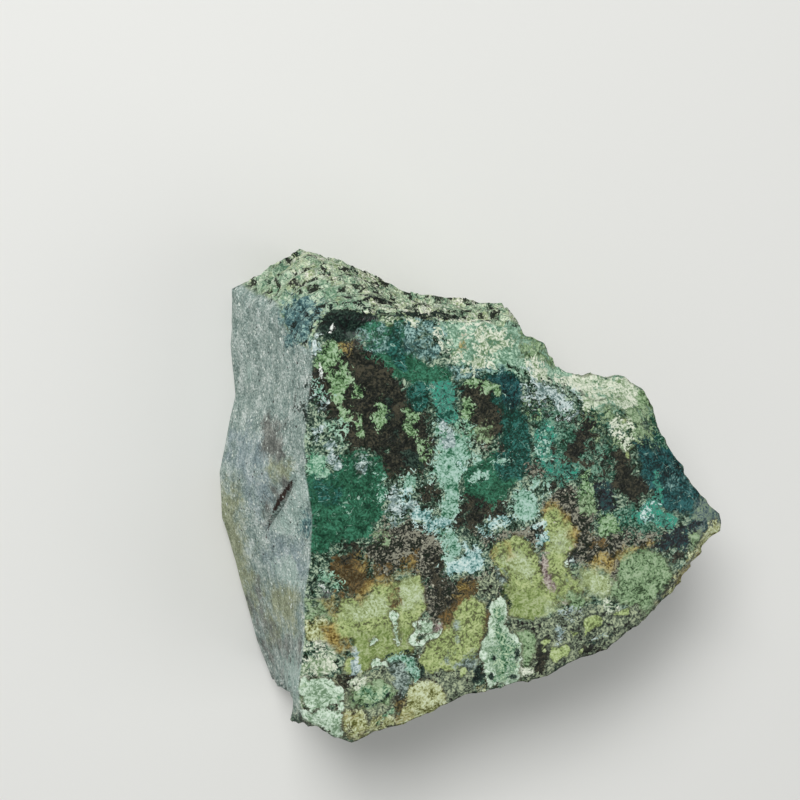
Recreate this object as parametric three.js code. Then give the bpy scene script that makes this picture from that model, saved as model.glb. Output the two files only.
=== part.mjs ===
// A hand-sized chunk of green jasper, lying on its sawn back with its broad cut face up.
// Millimetres, +Z up. The origin is the middle of the footprint, on the resting plane.
// The surface is one closed skin: a broad face, a wall carried round the outline from the
// rim of that face down to the foot, and the flat sawn back inside the foot.
import * as THREE from "three";

// Driving sizes.
const THICKNESS = 34; // from the sawn back to the broad face
const MIDDLE = [3.94, -0.87]; // near the middle of the bounding box; it becomes the origin
const HUB = [4, -1]; // where the rings of the broad face close

// How finely the skin is cut.
const SIDE_CELLS = 36; // cells along each side of the square that maps onto the broad face
const COLUMNS = 4 * SIDE_CELLS; // vertical strips in the wall
const WALL_ROWS = 24;

// Relief: how wide each kind of bump is, and how far it stands out.
const LUMPS = { size: 9, height: 1.1, octaves: 2 }; // broken rock
const SCALLOPS = { size: 14, height: 3.2 }; // shell-shaped hollows where the rock broke
const STEPS = { size: 16, treads: 3, height: 1.4, riser: 0.25 }; // flat breaks, one beside another
const LEDGES = { pitch: 4.6, height: 1.5, sway: 0.9, swaySize: 10, fade: 2.5 }; // terraces of the rind
const SAWN_WAVE = { size: 13, height: 0.45 }; // the dull side cut
const FACE_WAVE = { size: 15, height: 0.22 }; // the broad face
const RIM_BAND = 7; // depth below the face over which broken relief grows to its full height
const RIM_SHARE = 0.25; // the share of that height at the rim itself
const RIM_FADE = 14; // how quickly the wall's relief dies away inside the rim
const FOOT_SHARE = 0.6; // the share of the wall's relief left at the foot
const FOOT_FADE = 2.5; // height over which the rest of it returns

// The open crack across the sawn side, as points (y, z), and its slot.
const CRACK = [[3, 30.5], [-1.5, 25.5], [-5.5, 20.5], [-9, 16]];
const CRACK_WIDTH = 1.3;
const CRACK_DEPTH = 1.6;

// Hollows in the broad face: the dark pocket under the rind, and a small crystal vug.
const HOLLOWS = [
  { at: [-20.5, 26.6], reach: [4.2, 2.0], depth: 1.3 },
  { at: [-24.6, -14.6], reach: [1.9, 1.3], depth: 1.0 },
];

// Kinds of wall. `bow` under 1 swells the wall out just below the rim; 1 leaves it straight.
const RIND = { rind: 1, sawn: 0, bow: 0.62 };
const CHIPPED = { rind: 0.5, sawn: 0, bow: 0.75 };
const CORNER = { rind: 0.5, sawn: 0.5, bow: 0.85 };
const SAWN = { rind: 0, sawn: 1, bow: 1 };
const BROKEN = { rind: 0, sawn: 0, bow: 0.9 };

// A place on the outline: the rim of the broad face, how far that rim drops below the face
// and how wide the slope down to it is, the widest place of the wall below, and how far the
// foot is tucked in from there.
const station = (kind, rim, drop, slope, belly, tuck) => ({ kind, rim, drop, slope, belly, tuck });

// The outline, anticlockwise from the lower left corner.
const OUTLINE = [
  station(BROKEN, [-27.5, -35.6], 0.8, 2, [-26.4, -37.2, 20], 3),
  station(BROKEN, [-23.9, -37.6], 0.6, 2, [-22.5, -38.1, 14], 3),
  station(BROKEN, [-19.8, -40.6], 1.0, 3, [-18.5, -40.2, 15], 4),
  station(BROKEN, [-15.6, -38.9], 0.8, 3, [-14.5, -39.5, 13], 3),
  station(BROKEN, [-8.1, -36.9], 0.5, 2, [-7.5, -36.2, 16], 2.5),
  station(BROKEN, [-0.9, -34.5], 0.5, 2, [0.5, -34.8, 12], 3),
  station(BROKEN, [8.2, -32.9], 0.5, 2, [8.0, -33.6, 14], 2.5),
  station(BROKEN, [14.2, -32.3], 0.6, 2, [14.5, -32.6, 16], 4),
  station(BROKEN, [17.7, -29.8], 0.5, 2, [18.5, -30.4, 14], 3.5),
  station(BROKEN, [24.4, -27.5], 0.5, 2, [25.4, -28.2, 14], 4),
  station(BROKEN, [30.8, -22.1], 0.9, 1.6, [31.6, -23.6, 12], 3),
  station(BROKEN, [35.8, -17.5], 1.2, 1.6, [36.2, -19.2, 13], 4),
  station(BROKEN, [40.4, -12.9], 1.3, 1.6, [39.4, -13.2, 17], 7),
  station(BROKEN, [45.0, -8.3], 1.4, 4, [42.4, -8.6, 20], 12),
  station(BROKEN, [44.7, -5.4], 1.4, 4, [42.0, -5.6, 20], 12),
  station(BROKEN, [39.2, 0.3], 0.8, 2, [37.8, 0.6, 18], 7),
  station(BROKEN, [33.6, 8.3], 2.0, 4, [33.4, 7.6, 14], 5),
  station(BROKEN, [32.4, 12.0], 3.6, 5, [31.2, 11.0, 15], 6),
  station(BROKEN, [30.5, 15.4], 4.6, 7, [29.0, 14.0, 16], 7),
  station(BROKEN, [27.9, 17.4], 5.0, 8, [26.6, 16.0, 16], 6),
  station(BROKEN, [22.4, 18.2], 5.0, 7, [21.8, 17.6, 13], 3),
  station(BROKEN, [16.6, 20.9], 4.5, 7, [16.8, 20.4, 13], 3),
  station(BROKEN, [13.8, 24.1], 4.0, 9, [13.4, 23.8, 14], 3),
  station(BROKEN, [10.3, 26.3], 3.5, 10, [10.6, 26.6, 15], 3.5),
  station(CHIPPED, [9.5, 27.0], 3.3, 10, [11.6, 27.4, 22], 3),
  station(RIND, [7.2, 27.7], 2.8, 10, [9.4, 29.2, 21], 3),
  station(RIND, [2.4, 28.0], 2.0, 10, [3.9, 29.8, 17], 3),
  station(RIND, [-4.7, 28.3], 0.8, 6, [-3.2, 30.9, 14], 2.5),
  station(RIND, [-9.8, 29.2], 0.5, 2, [-8.7, 33.3, 12], 2.5),
  station(RIND, [-14.7, 29.8], 0.5, 2, [-15.4, 36.4, 11], 3),
  station(RIND, [-20.4, 29.4], 0.5, 2, [-22.5, 38.7, 9], 3),
  station(RIND, [-24.8, 27.7], 0.5, 2, [-27.4, 35.2, 7], 2.5),
  station(CORNER, [-25.8, 25.0], 0.4, 1, [-33.4, 32.0, 4], 2),
  station(SAWN, [-25.8, 20.9], 0.3, 1, [-33.9, 22.6, 4], 2),
  station(SAWN, [-26.7, 15.8], 0.3, 1, [-33.2, 13.9, 4], 2),
  station(SAWN, [-27.4, 9.5], 0.3, 1, [-34.8, 7.0, 4], 2),
  station(SAWN, [-27.0, 3.9], 0.3, 1, [-36.3, 0.6, 4], 2),
  station(SAWN, [-26.0, -2.6], 0.3, 1, [-35.9, -7.5, 4], 2),
  station(SAWN, [-26.2, -10.2], 0.3, 1, [-33.5, -15.3, 4], 2),
  station(SAWN, [-27.2, -16.3], 0.3, 1, [-31.6, -22.1, 4], 2),
  station(SAWN, [-27.4, -22.8], 0.3, 1, [-29.7, -29.4, 4], 2),
  station(SAWN, [-28.1, -27.6], 0.3, 1, [-28.0, -34.1, 5], 2),
  station(CORNER, [-28.6, -30.9], 0.4, 1, [-27.2, -36.2, 8], 2.5),
];

const mix = (a, b, share) => a + (b - a) * share;
const smooth = (x) => x * x * (3 - 2 * x);
const clamp01 = (x) => Math.min(1, Math.max(0, x));

// A repeatable value from 0 to 1 for a corner of the unit lattice.
function latticeValue(i, j, k) {
  const s = Math.sin(i * 127.1 + j * 311.7 + k * 74.7) * 43758.5453;
  return s - Math.floor(s);
}

// Smooth noise from -1 to 1: lattice values blended across one cell of the unit lattice.
function noise(x, y, z) {
  const [i, j, k] = [Math.floor(x), Math.floor(y), Math.floor(z)];
  const [u, v, w] = [smooth(x - i), smooth(y - j), smooth(z - k)];
  const edge = (b, c) => mix(latticeValue(i, j + b, k + c), latticeValue(i + 1, j + b, k + c), u);
  const sheet = (c) => mix(edge(0, c), edge(1, c), v);
  return mix(sheet(0), sheet(1), w) * 2 - 1;
}

// Noise summed over octaves, each half as wide and half as high as the one before.
function fractalNoise(x, y, z, octaves) {
  let sum = 0;
  for (let n = 0; n < octaves; n += 1) {
    const scale = 2 ** n;
    sum += noise(x * scale, y * scale, z * scale) / scale;
  }
  return sum;
}

// How far along the outline each station lies, in whole wall columns.
function stationColumns() {
  const lengths = OUTLINE.map(({ rim }, n) => {
    const next = OUTLINE[(n + 1) % OUTLINE.length].rim;
    return Math.hypot(next[0] - rim[0], next[1] - rim[1]);
  });
  const total = lengths.reduce((sum, length) => sum + length, 0);
  let walked = 0;
  const columns = lengths.map((length) => {
    const column = Math.round((COLUMNS * walked) / total);
    walked += length;
    return column;
  });
  return [...columns, COLUMNS];
}

const STATION_COLUMNS = stationColumns();

// Everything that a station states, blended between the two stations around a column.
function outlineAt(column) {
  const wrapped = ((column % COLUMNS) + COLUMNS) % COLUMNS;
  let n = 0;
  while (STATION_COLUMNS[n + 1] <= wrapped) n += 1;
  const share = (wrapped - STATION_COLUMNS[n]) / (STATION_COLUMNS[n + 1] - STATION_COLUMNS[n]);
  const [a, b] = [OUTLINE[n], OUTLINE[(n + 1) % OUTLINE.length]];
  return {
    rim: a.rim.map((value, axis) => mix(value, b.rim[axis], share)),
    drop: mix(a.drop, b.drop, share),
    slope: mix(a.slope, b.slope, share),
    belly: a.belly.map((value, axis) => mix(value, b.belly[axis], share)),
    tuck: mix(a.tuck, b.tuck, share),
    rind: mix(a.kind.rind, b.kind.rind, share),
    sawn: mix(a.kind.sawn, b.kind.sawn, share),
    bow: mix(a.kind.bow, b.kind.bow, share),
  };
}

// The level direction from the hub outwards through a point.
function outwards(x, y) {
  const length = Math.hypot(x - HUB[0], y - HUB[1]) || 1;
  return [(x - HUB[0]) / length, (y - HUB[1]) / length];
}

// Distance from (y, z) to the crack, and how far along it that is, from 0 to 1.
function crackDistance(y, z) {
  let best = { distance: Infinity, along: 0 };
  for (let n = 0; n + 1 < CRACK.length; n += 1) {
    const [a, b] = [CRACK[n], CRACK[n + 1]];
    const [dy, dz] = [b[0] - a[0], b[1] - a[1]];
    const share = clamp01(((y - a[0]) * dy + (z - a[1]) * dz) / (dy * dy + dz * dz));
    const distance = Math.hypot(y - a[0] - share * dy, z - a[1] - share * dz);
    if (distance < best.distance) best = { distance, along: (n + share) / (CRACK.length - 1) };
  }
  return best;
}

// Shell-shaped hollows that meet in ridges, lumps on them, and flat breaks in steps.
function brokenRelief(x, y, z) {
  const lumps = fractalNoise(x / LUMPS.size, y / LUMPS.size, z / LUMPS.size, LUMPS.octaves);
  const hollow = Math.abs(noise(x / SCALLOPS.size + 7, y / SCALLOPS.size, z / SCALLOPS.size));
  const climb = STEPS.treads * noise(x / STEPS.size, y / STEPS.size + 9, z / STEPS.size);
  const tread = Math.floor(climb);
  const riser = smooth(clamp01((climb - tread - 1 + STEPS.riser) / STEPS.riser));
  return LUMPS.height * lumps + SCALLOPS.height * (0.3 - hollow) + STEPS.height * (tread + riser);
}

// Terraces that jut out at their upper edge and fall back below it, one under another.
function rindRelief(x, y, z) {
  const sway = noise(x / LEDGES.swaySize, y / LEDGES.swaySize + 3, z / LEDGES.swaySize);
  const climb = (THICKNESS - z) / LEDGES.pitch + LEDGES.sway * sway;
  const terrace = 0.5 - (climb - Math.floor(climb));
  const lumps = fractalNoise(x / LUMPS.size, y / LUMPS.size, z / LUMPS.size, LUMPS.octaves);
  return LEDGES.height * terrace * clamp01((THICKNESS - z) / LEDGES.fade) + 0.5 * LUMPS.height * lumps;
}

// A slow wave, cut by the open crack.
function sawnRelief(x, y, z) {
  const wave = noise(x / SAWN_WAVE.size, y / SAWN_WAVE.size + 5, z / SAWN_WAVE.size);
  const { distance, along } = crackDistance(y, z);
  const slot = Math.exp(-((distance / (CRACK_WIDTH / 2)) ** 2)) * (1 - 0.7 * along);
  return SAWN_WAVE.height * wave - CRACK_DEPTH * slot;
}

// How far the wall stands out from its plain form, by the share of each kind of surface.
function wallRelief(x, y, z, rind, sawn) {
  const broken = 1 - rind - sawn;
  const roughness = mix(RIM_SHARE, 1, clamp01((THICKNESS - z) / RIM_BAND));
  return broken * roughness * brokenRelief(x, y, z)
    + rind * rindRelief(x, y, z)
    + sawn * sawnRelief(x, y, z);
}

// How far the broad face stands above its plane at (x, y).
function faceRelief(x, y) {
  let height = FACE_WAVE.height * fractalNoise(x / FACE_WAVE.size, y / FACE_WAVE.size, 2, 2);
  for (const { at, reach, depth } of HOLLOWS) {
    height -= depth * Math.exp(-(((x - at[0]) / reach[0]) ** 2) - ((y - at[1]) / reach[1]) ** 2);
  }
  return height;
}

// A point of the broad face: `ring` runs from 0 at the hub to 1 at the rim.
function facePoint(column, ring) {
  const { rim, drop, slope, rind, sawn } = outlineAt(column);
  const x = mix(HUB[0], rim[0], ring);
  const y = mix(HUB[1], rim[1], ring);
  const inward = Math.hypot(rim[0] - x, rim[1] - y);
  const z = THICKNESS - drop * (1 - smooth(clamp01(inward / slope))) + faceRelief(x, y);
  const out = outwards(...rim);
  const push = wallRelief(rim[0], rim[1], THICKNESS - drop, rind, sawn) * ring ** RIM_FADE;
  return [x + out[0] * push, y + out[1] * push, z];
}

// A point of the wall: `down` runs from 0 at the rim to 1 at the foot.
function wallPoint(column, down) {
  const { rim, drop, belly, tuck, rind, sawn, bow } = outlineAt(column);
  const top = THICKNESS - drop;
  const z = top * (1 - down);
  const below = clamp01((top - z) / (top - belly[2])) ** bow;
  const under = clamp01((belly[2] - z) / belly[2]) ** 2;
  const tuckOut = outwards(belly[0], belly[1]);
  const x = mix(rim[0], belly[0], below) - tuckOut[0] * tuck * under;
  const y = mix(rim[1], belly[1], below) - tuckOut[1] * tuck * under;
  const out = outwards(x, y);
  const push = wallRelief(x, y, z, rind, sawn) * mix(FOOT_SHARE, 1, clamp01(z / FOOT_FADE));
  const lift = faceRelief(x, y) * clamp01(1 - down * WALL_ROWS);
  return [x + out[0] * push, y + out[1] * push, z + lift];
}

// Where a point of the square (-1..1 each way) lies: its ring, and its wall column.
function squarePlace(a, b) {
  const ring = Math.max(Math.abs(a), Math.abs(b));
  if (ring === 0) return { ring, column: 0 };
  const run = (from) => (SIDE_CELLS * (from + ring)) / (2 * ring);
  if (b === -ring) return { ring, column: run(a) };
  if (a === ring) return { ring, column: SIDE_CELLS + run(b) };
  if (b === ring) return { ring, column: 2 * SIDE_CELLS + run(-a) };
  return { ring, column: 3 * SIDE_CELLS + run(-b) };
}

// The whole skin as one indexed geometry, its faces pointing out.
function stoneGeometry() {
  const positions = [];
  const triangles = [];
  const add = (point) => positions.push(point[0] - MIDDLE[0], point[1] - MIDDLE[1], point[2]) / 3 - 1;
  const quad = (a, b, c, d) => triangles.push(a, b, c, a, c, d);

  // The wall, row by row from the rim. Its first row is also the edge of the broad face.
  const wall = [];
  for (let row = 0; row <= WALL_ROWS; row += 1) {
    const points = Array.from({ length: COLUMNS }, (_, column) => wallPoint(column, row / WALL_ROWS));
    wall.push(points.map(add));
  }
  for (let row = 0; row < WALL_ROWS; row += 1) {
    for (let column = 0; column < COLUMNS; column += 1) {
      const next = (column + 1) % COLUMNS;
      quad(wall[row][column], wall[row + 1][column], wall[row + 1][next], wall[row][next]);
    }
  }

  // The broad face, a square grid whose border is the wall's first row.
  const face = [];
  for (let i = 0; i <= SIDE_CELLS; i += 1) {
    face.push([]);
    for (let j = 0; j <= SIDE_CELLS; j += 1) {
      const { ring, column } = squarePlace((2 * i) / SIDE_CELLS - 1, (2 * j) / SIDE_CELLS - 1);
      const onRim = i === 0 || j === 0 || i === SIDE_CELLS || j === SIDE_CELLS;
      face[i].push(onRim ? wall[0][Math.round(column) % COLUMNS] : add(facePoint(column, ring)));
    }
  }
  for (let i = 0; i < SIDE_CELLS; i += 1) {
    for (let j = 0; j < SIDE_CELLS; j += 1) {
      quad(face[i][j], face[i + 1][j], face[i + 1][j + 1], face[i][j + 1]);
    }
  }

  // The flat sawn back, inside the foot.
  const foot = wall[WALL_ROWS];
  const footOutline = foot.map((n) => new THREE.Vector2(positions[3 * n], positions[3 * n + 1]));
  for (const [a, b, c] of THREE.ShapeUtils.triangulateShape(footOutline, [])) {
    triangles.push(foot[a], foot[c], foot[b]);
  }

  const geometry = new THREE.BufferGeometry();
  geometry.setAttribute("position", new THREE.Float32BufferAttribute(positions, 3));
  geometry.setIndex(triangles);
  geometry.computeVertexNormals();
  return geometry;
}

const jasper = new THREE.MeshStandardMaterial({ color: 0x3f6b52, roughness: 0.45, metalness: 0 });

const stone = new THREE.Mesh(stoneGeometry(), jasper);
stone.name = "jasper_stone";

const specimen = new THREE.Group();
specimen.add(stone);

export default specimen;
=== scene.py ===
"""A chunk of green jasper: a broad cut face, a dull sawn side, a scaly rind and broken edges.

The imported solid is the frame. One skin takes its place. It is the same form worked out on a finer
grid, with the rind's scales, the chipped edges and the open crack on it. It carries a map of the
minerals.
"""

import logging
from collections.abc import Iterator
from dataclasses import dataclass
from enum import Enum

import bpy
import numpy as np
from mathutils import Matrix, Vector

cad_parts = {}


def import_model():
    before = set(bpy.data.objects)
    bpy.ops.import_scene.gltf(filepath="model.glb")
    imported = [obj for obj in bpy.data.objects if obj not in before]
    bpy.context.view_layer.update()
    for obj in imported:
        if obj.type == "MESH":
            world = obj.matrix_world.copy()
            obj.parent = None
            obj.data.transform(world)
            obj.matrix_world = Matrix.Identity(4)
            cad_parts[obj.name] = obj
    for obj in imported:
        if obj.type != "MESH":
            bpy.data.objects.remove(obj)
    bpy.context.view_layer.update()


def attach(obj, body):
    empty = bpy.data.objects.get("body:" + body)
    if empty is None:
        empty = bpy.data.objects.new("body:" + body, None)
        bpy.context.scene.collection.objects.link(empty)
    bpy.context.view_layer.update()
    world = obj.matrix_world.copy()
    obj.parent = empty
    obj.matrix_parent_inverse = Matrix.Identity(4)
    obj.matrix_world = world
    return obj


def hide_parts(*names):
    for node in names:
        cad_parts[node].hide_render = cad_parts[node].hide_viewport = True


log = logging.getLogger("jasper")

MM = 0.001
TINY = 1e-9

Array = np.ndarray
Pair = tuple[float, float]
Triple = tuple[float, float, float]
Row = tuple[float, ...]


# ---- Shared arithmetic ----


def mix(a: Array, b: Array, share: Array) -> Array:
    """a where share is 0, b where it is 1, and in proportion between."""
    return a + (b - a) * share


def clamp01(x: Array) -> Array:
    """x held between 0 and 1."""
    return np.clip(x, 0.0, 1.0)


def smooth(x: Array) -> Array:
    """An S-shaped rise from 0 to 1: three squares less two cubes."""
    return x * x * (3 - 2 * x)


def bell(x: Array) -> Array:
    """A bell curve, 1 at 0 and next to nothing past 2: e to the power of less x squared."""
    return np.exp(-(x**2))


LATTICE_TURNS = (127.1, 311.7, 74.7)
LATTICE_GAIN = 43758.5453


def lattice_value(i: Array, j: Array, k: Array) -> Array:
    """A repeatable value from 0 to 1 for a corner of the lattice: the fraction of a large sine.

    Args:
        i, j, k: the corner.

    Returns:
        Its value.
    """
    along_i, along_j, along_k = LATTICE_TURNS
    s = np.sin(i * along_i + j * along_j + k * along_k) * LATTICE_GAIN
    return s - np.floor(s)


def noise(x: Array, y: Array, z: Array) -> Array:
    """Smooth noise: lattice values blended across one cell of the unit lattice.

    Two noises of the same place are kept apart by a number that is added to x, y or z.

    Args:
        x, y, z: the place, in cells.

    Returns:
        The noise, from -1 to 1.
    """
    i, j, k = np.floor(x), np.floor(y), np.floor(z)
    u, v, w = smooth(x - i), smooth(y - j), smooth(z - k)

    def edge(b: int, c: int) -> Array:
        """The blend along one edge of the cell."""
        return mix(lattice_value(i, j + b, k + c), lattice_value(i + 1, j + b, k + c), u)

    sheets = [mix(edge(0, c), edge(1, c), v) for c in (0, 1)]
    return mix(sheets[0], sheets[1], w) * 2 - 1


def fractal_noise(x: Array, y: Array, z: Array, octaves: int) -> Array:
    """Noise summed over octaves, each half as wide and half as high as the one before."""
    return sum(noise(x * 2**n, y * 2**n, z * 2**n) / 2**n for n in range(octaves))


def path_distance(x: Array, y: Array, path: list[Pair]) -> tuple[Array, Array]:
    """Distance from points to a path of straight pieces.

    Args:
        x, y: the points.
        path: the path's corners.

    Returns:
        The distance, and how far along the path its nearest place lies, from 0 to 1.
    """
    best = np.full(x.shape, np.inf)
    along = np.zeros(x.shape)
    for n, (a, b) in enumerate(zip(path, path[1:])):
        dx, dy = b[0] - a[0], b[1] - a[1]
        share = clamp01(((x - a[0]) * dx + (y - a[1]) * dy) / (dx * dx + dy * dy))
        distance = np.hypot(x - a[0] - share * dx, y - a[1] - share * dy)
        closer = distance < best
        along = np.where(closer, (n + share) / (len(path) - 1), along)
        best = np.minimum(best, distance)
    return best, along


def inside(x: Array, y: Array, outline: list[Pair]) -> Array:
    """Which points an outline holds: a line out to the right crosses it an odd number of times.

    Args:
        x, y: the points.
        outline: its corners.

    Returns:
        True for the points inside.
    """
    odd = np.zeros(x.shape, bool)
    for a, b in zip(outline, outline[1:] + outline[:1]):
        if a[1] == b[1]:
            continue
        crossing = (b[0] - a[0]) * (y - a[1]) / (b[1] - a[1]) + a[0]
        odd ^= ((a[1] > y) != (b[1] > y)) & (x < crossing)
    return odd


def outline_depth(x: Array, y: Array, outline: list[Pair]) -> Array:
    """Distance to a closed outline, above 0 inside it and below 0 outside."""
    distance, _ = path_distance(x, y, outline + outline[:1])
    return np.where(inside(x, y, outline), distance, -distance)


# ---- The form of the stone, in millimetres ----
# It is moved at the end, so that the origin is under its middle. Lengths called a size say how far
# apart the swellings of a noise are.


class Wall(Enum):
    """Kinds of wall: the share of rind, the share of saw cut, and the bow.

    A bow under 1 swells the wall out just below the rim, and 1 leaves it straight.
    """

    RIND = (1.0, 0.0, 0.62)
    CHIPPED = (0.5, 0.0, 0.75)
    CORNER = (0.5, 0.5, 0.85)
    SAWN = (0.0, 1.0, 1.0)
    BROKEN = (0.0, 0.0, 0.9)


@dataclass(frozen=True)
class Station:
    """A place on the outline.

    Attributes:
        wall: the kind of wall here.
        rim: the rim of the broad face.
        drop: how far that rim drops below the face.
        slope: how wide the slope down to the rim is.
        belly: the widest place of the wall below.
        tuck: how far the foot is tucked in from the belly.
    """

    wall: Wall
    rim: Pair
    drop: float
    slope: float
    belly: Triple
    tuck: float

    def values(self) -> list[float]:
        """Everything the station states, as one row of numbers."""
        return [*self.rim, self.drop, self.slope, *self.belly, self.tuck, *self.wall.value]


# The outline, anticlockwise from the lower left corner.
OUTLINE = [
    Station(Wall.BROKEN, (-27.5, -35.6), 0.8, 2, (-26.4, -37.2, 20), 3),
    Station(Wall.BROKEN, (-23.9, -38.1), 0.6, 2, (-22.5, -38.1, 14), 3),
    Station(Wall.BROKEN, (-19.8, -41.1), 1.0, 3, (-18.5, -40.8, 15), 4),
    Station(Wall.BROKEN, (-15.6, -39.3), 0.8, 3, (-14.5, -39.5, 13), 3),
    Station(Wall.BROKEN, (-8.1, -36.9), 0.5, 2, (-7.5, -36.2, 16), 2.5),
    Station(Wall.BROKEN, (-0.9, -34.5), 0.5, 2, (0.5, -34.8, 12), 3),
    Station(Wall.BROKEN, (8.2, -32.9), 0.5, 2, (8.0, -33.6, 14), 2.5),
    Station(Wall.BROKEN, (14.2, -32.3), 0.6, 2, (14.5, -32.6, 16), 4),
    Station(Wall.BROKEN, (17.7, -29.8), 0.5, 2, (18.5, -30.4, 14), 3.5),
    Station(Wall.BROKEN, (24.4, -27.5), 0.5, 2, (25.4, -28.2, 14), 4),
    Station(Wall.BROKEN, (30.8, -22.1), 0.9, 1.6, (31.6, -23.6, 12), 3),
    Station(Wall.BROKEN, (35.8, -17.5), 1.2, 1.6, (36.2, -19.2, 13), 4),
    Station(Wall.BROKEN, (40.4, -12.9), 1.3, 1.6, (39.4, -13.2, 17), 7),
    Station(Wall.BROKEN, (45.0, -8.3), 1.4, 4, (42.4, -8.6, 20), 12),
    Station(Wall.BROKEN, (44.7, -5.4), 1.4, 4, (42.0, -5.6, 20), 12),
    Station(Wall.BROKEN, (39.2, 0.3), 0.8, 2, (37.8, 0.6, 18), 7),
    Station(Wall.BROKEN, (33.6, 8.3), 2.0, 4, (33.4, 7.6, 14), 5),
    Station(Wall.BROKEN, (32.4, 12.0), 3.6, 5, (31.2, 11.0, 15), 6),
    Station(Wall.BROKEN, (30.5, 15.4), 4.6, 7, (29.0, 14.0, 16), 7),
    Station(Wall.BROKEN, (27.9, 17.4), 5.0, 8, (26.6, 16.0, 16), 6),
    Station(Wall.BROKEN, (22.4, 18.2), 5.0, 7, (21.8, 17.6, 13), 3),
    Station(Wall.BROKEN, (16.6, 20.9), 4.5, 7, (16.8, 20.4, 13), 3),
    Station(Wall.BROKEN, (13.8, 24.1), 4.0, 9, (13.4, 23.8, 14), 3),
    Station(Wall.BROKEN, (10.3, 26.3), 3.5, 10, (10.6, 26.6, 15), 3.5),
    Station(Wall.CHIPPED, (9.5, 27.0), 3.3, 10, (11.6, 27.4, 22), 3),
    Station(Wall.RIND, (7.2, 27.7), 2.8, 10, (9.4, 29.2, 21), 3),
    Station(Wall.RIND, (2.4, 28.0), 2.0, 10, (3.9, 29.8, 17), 3),
    Station(Wall.RIND, (-4.7, 28.3), 0.8, 6, (-3.2, 30.9, 14), 2.5),
    Station(Wall.RIND, (-9.8, 29.2), 0.5, 2, (-8.7, 33.3, 12), 2.5),
    Station(Wall.RIND, (-14.7, 29.8), 0.5, 2, (-15.4, 36.4, 11), 3),
    Station(Wall.RIND, (-20.4, 29.4), 0.5, 2, (-22.5, 38.7, 9), 3),
    Station(Wall.RIND, (-24.8, 27.7), 0.5, 2, (-27.4, 35.2, 7), 2.5),
    Station(Wall.CORNER, (-25.8, 25.0), 0.4, 1, (-33.4, 32.0, 4), 2),
    Station(Wall.SAWN, (-25.8, 20.9), 0.3, 1, (-33.9, 22.6, 4), 2),
    Station(Wall.SAWN, (-26.7, 15.8), 0.3, 1, (-33.2, 13.9, 4), 2),
    Station(Wall.SAWN, (-27.4, 9.5), 0.3, 1, (-34.8, 7.0, 4), 2),
    Station(Wall.SAWN, (-27.0, 3.9), 0.3, 1, (-36.3, 0.6, 4), 2),
    Station(Wall.SAWN, (-26.0, -2.6), 0.3, 1, (-35.9, -7.5, 4), 2),
    Station(Wall.SAWN, (-26.2, -10.2), 0.3, 1, (-33.5, -15.3, 4), 2),
    Station(Wall.SAWN, (-27.2, -16.3), 0.3, 1, (-31.6, -22.1, 4), 2),
    Station(Wall.SAWN, (-27.4, -22.8), 0.3, 1, (-29.7, -29.4, 4), 2),
    Station(Wall.SAWN, (-28.1, -27.6), 0.3, 1, (-28.0, -34.1, 5), 2),
    Station(Wall.CORNER, (-28.6, -30.9), 0.4, 1, (-27.2, -36.2, 8), 2.5),
]


@dataclass(frozen=True)
class Place:
    """What the stations state, blended for many columns of the wall at once."""

    rim_x: Array
    rim_y: Array
    drop: Array
    slope: Array
    belly_x: Array
    belly_y: Array
    belly_z: Array
    tuck: Array
    rind: Array
    sawn: Array
    bow: Array


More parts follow.
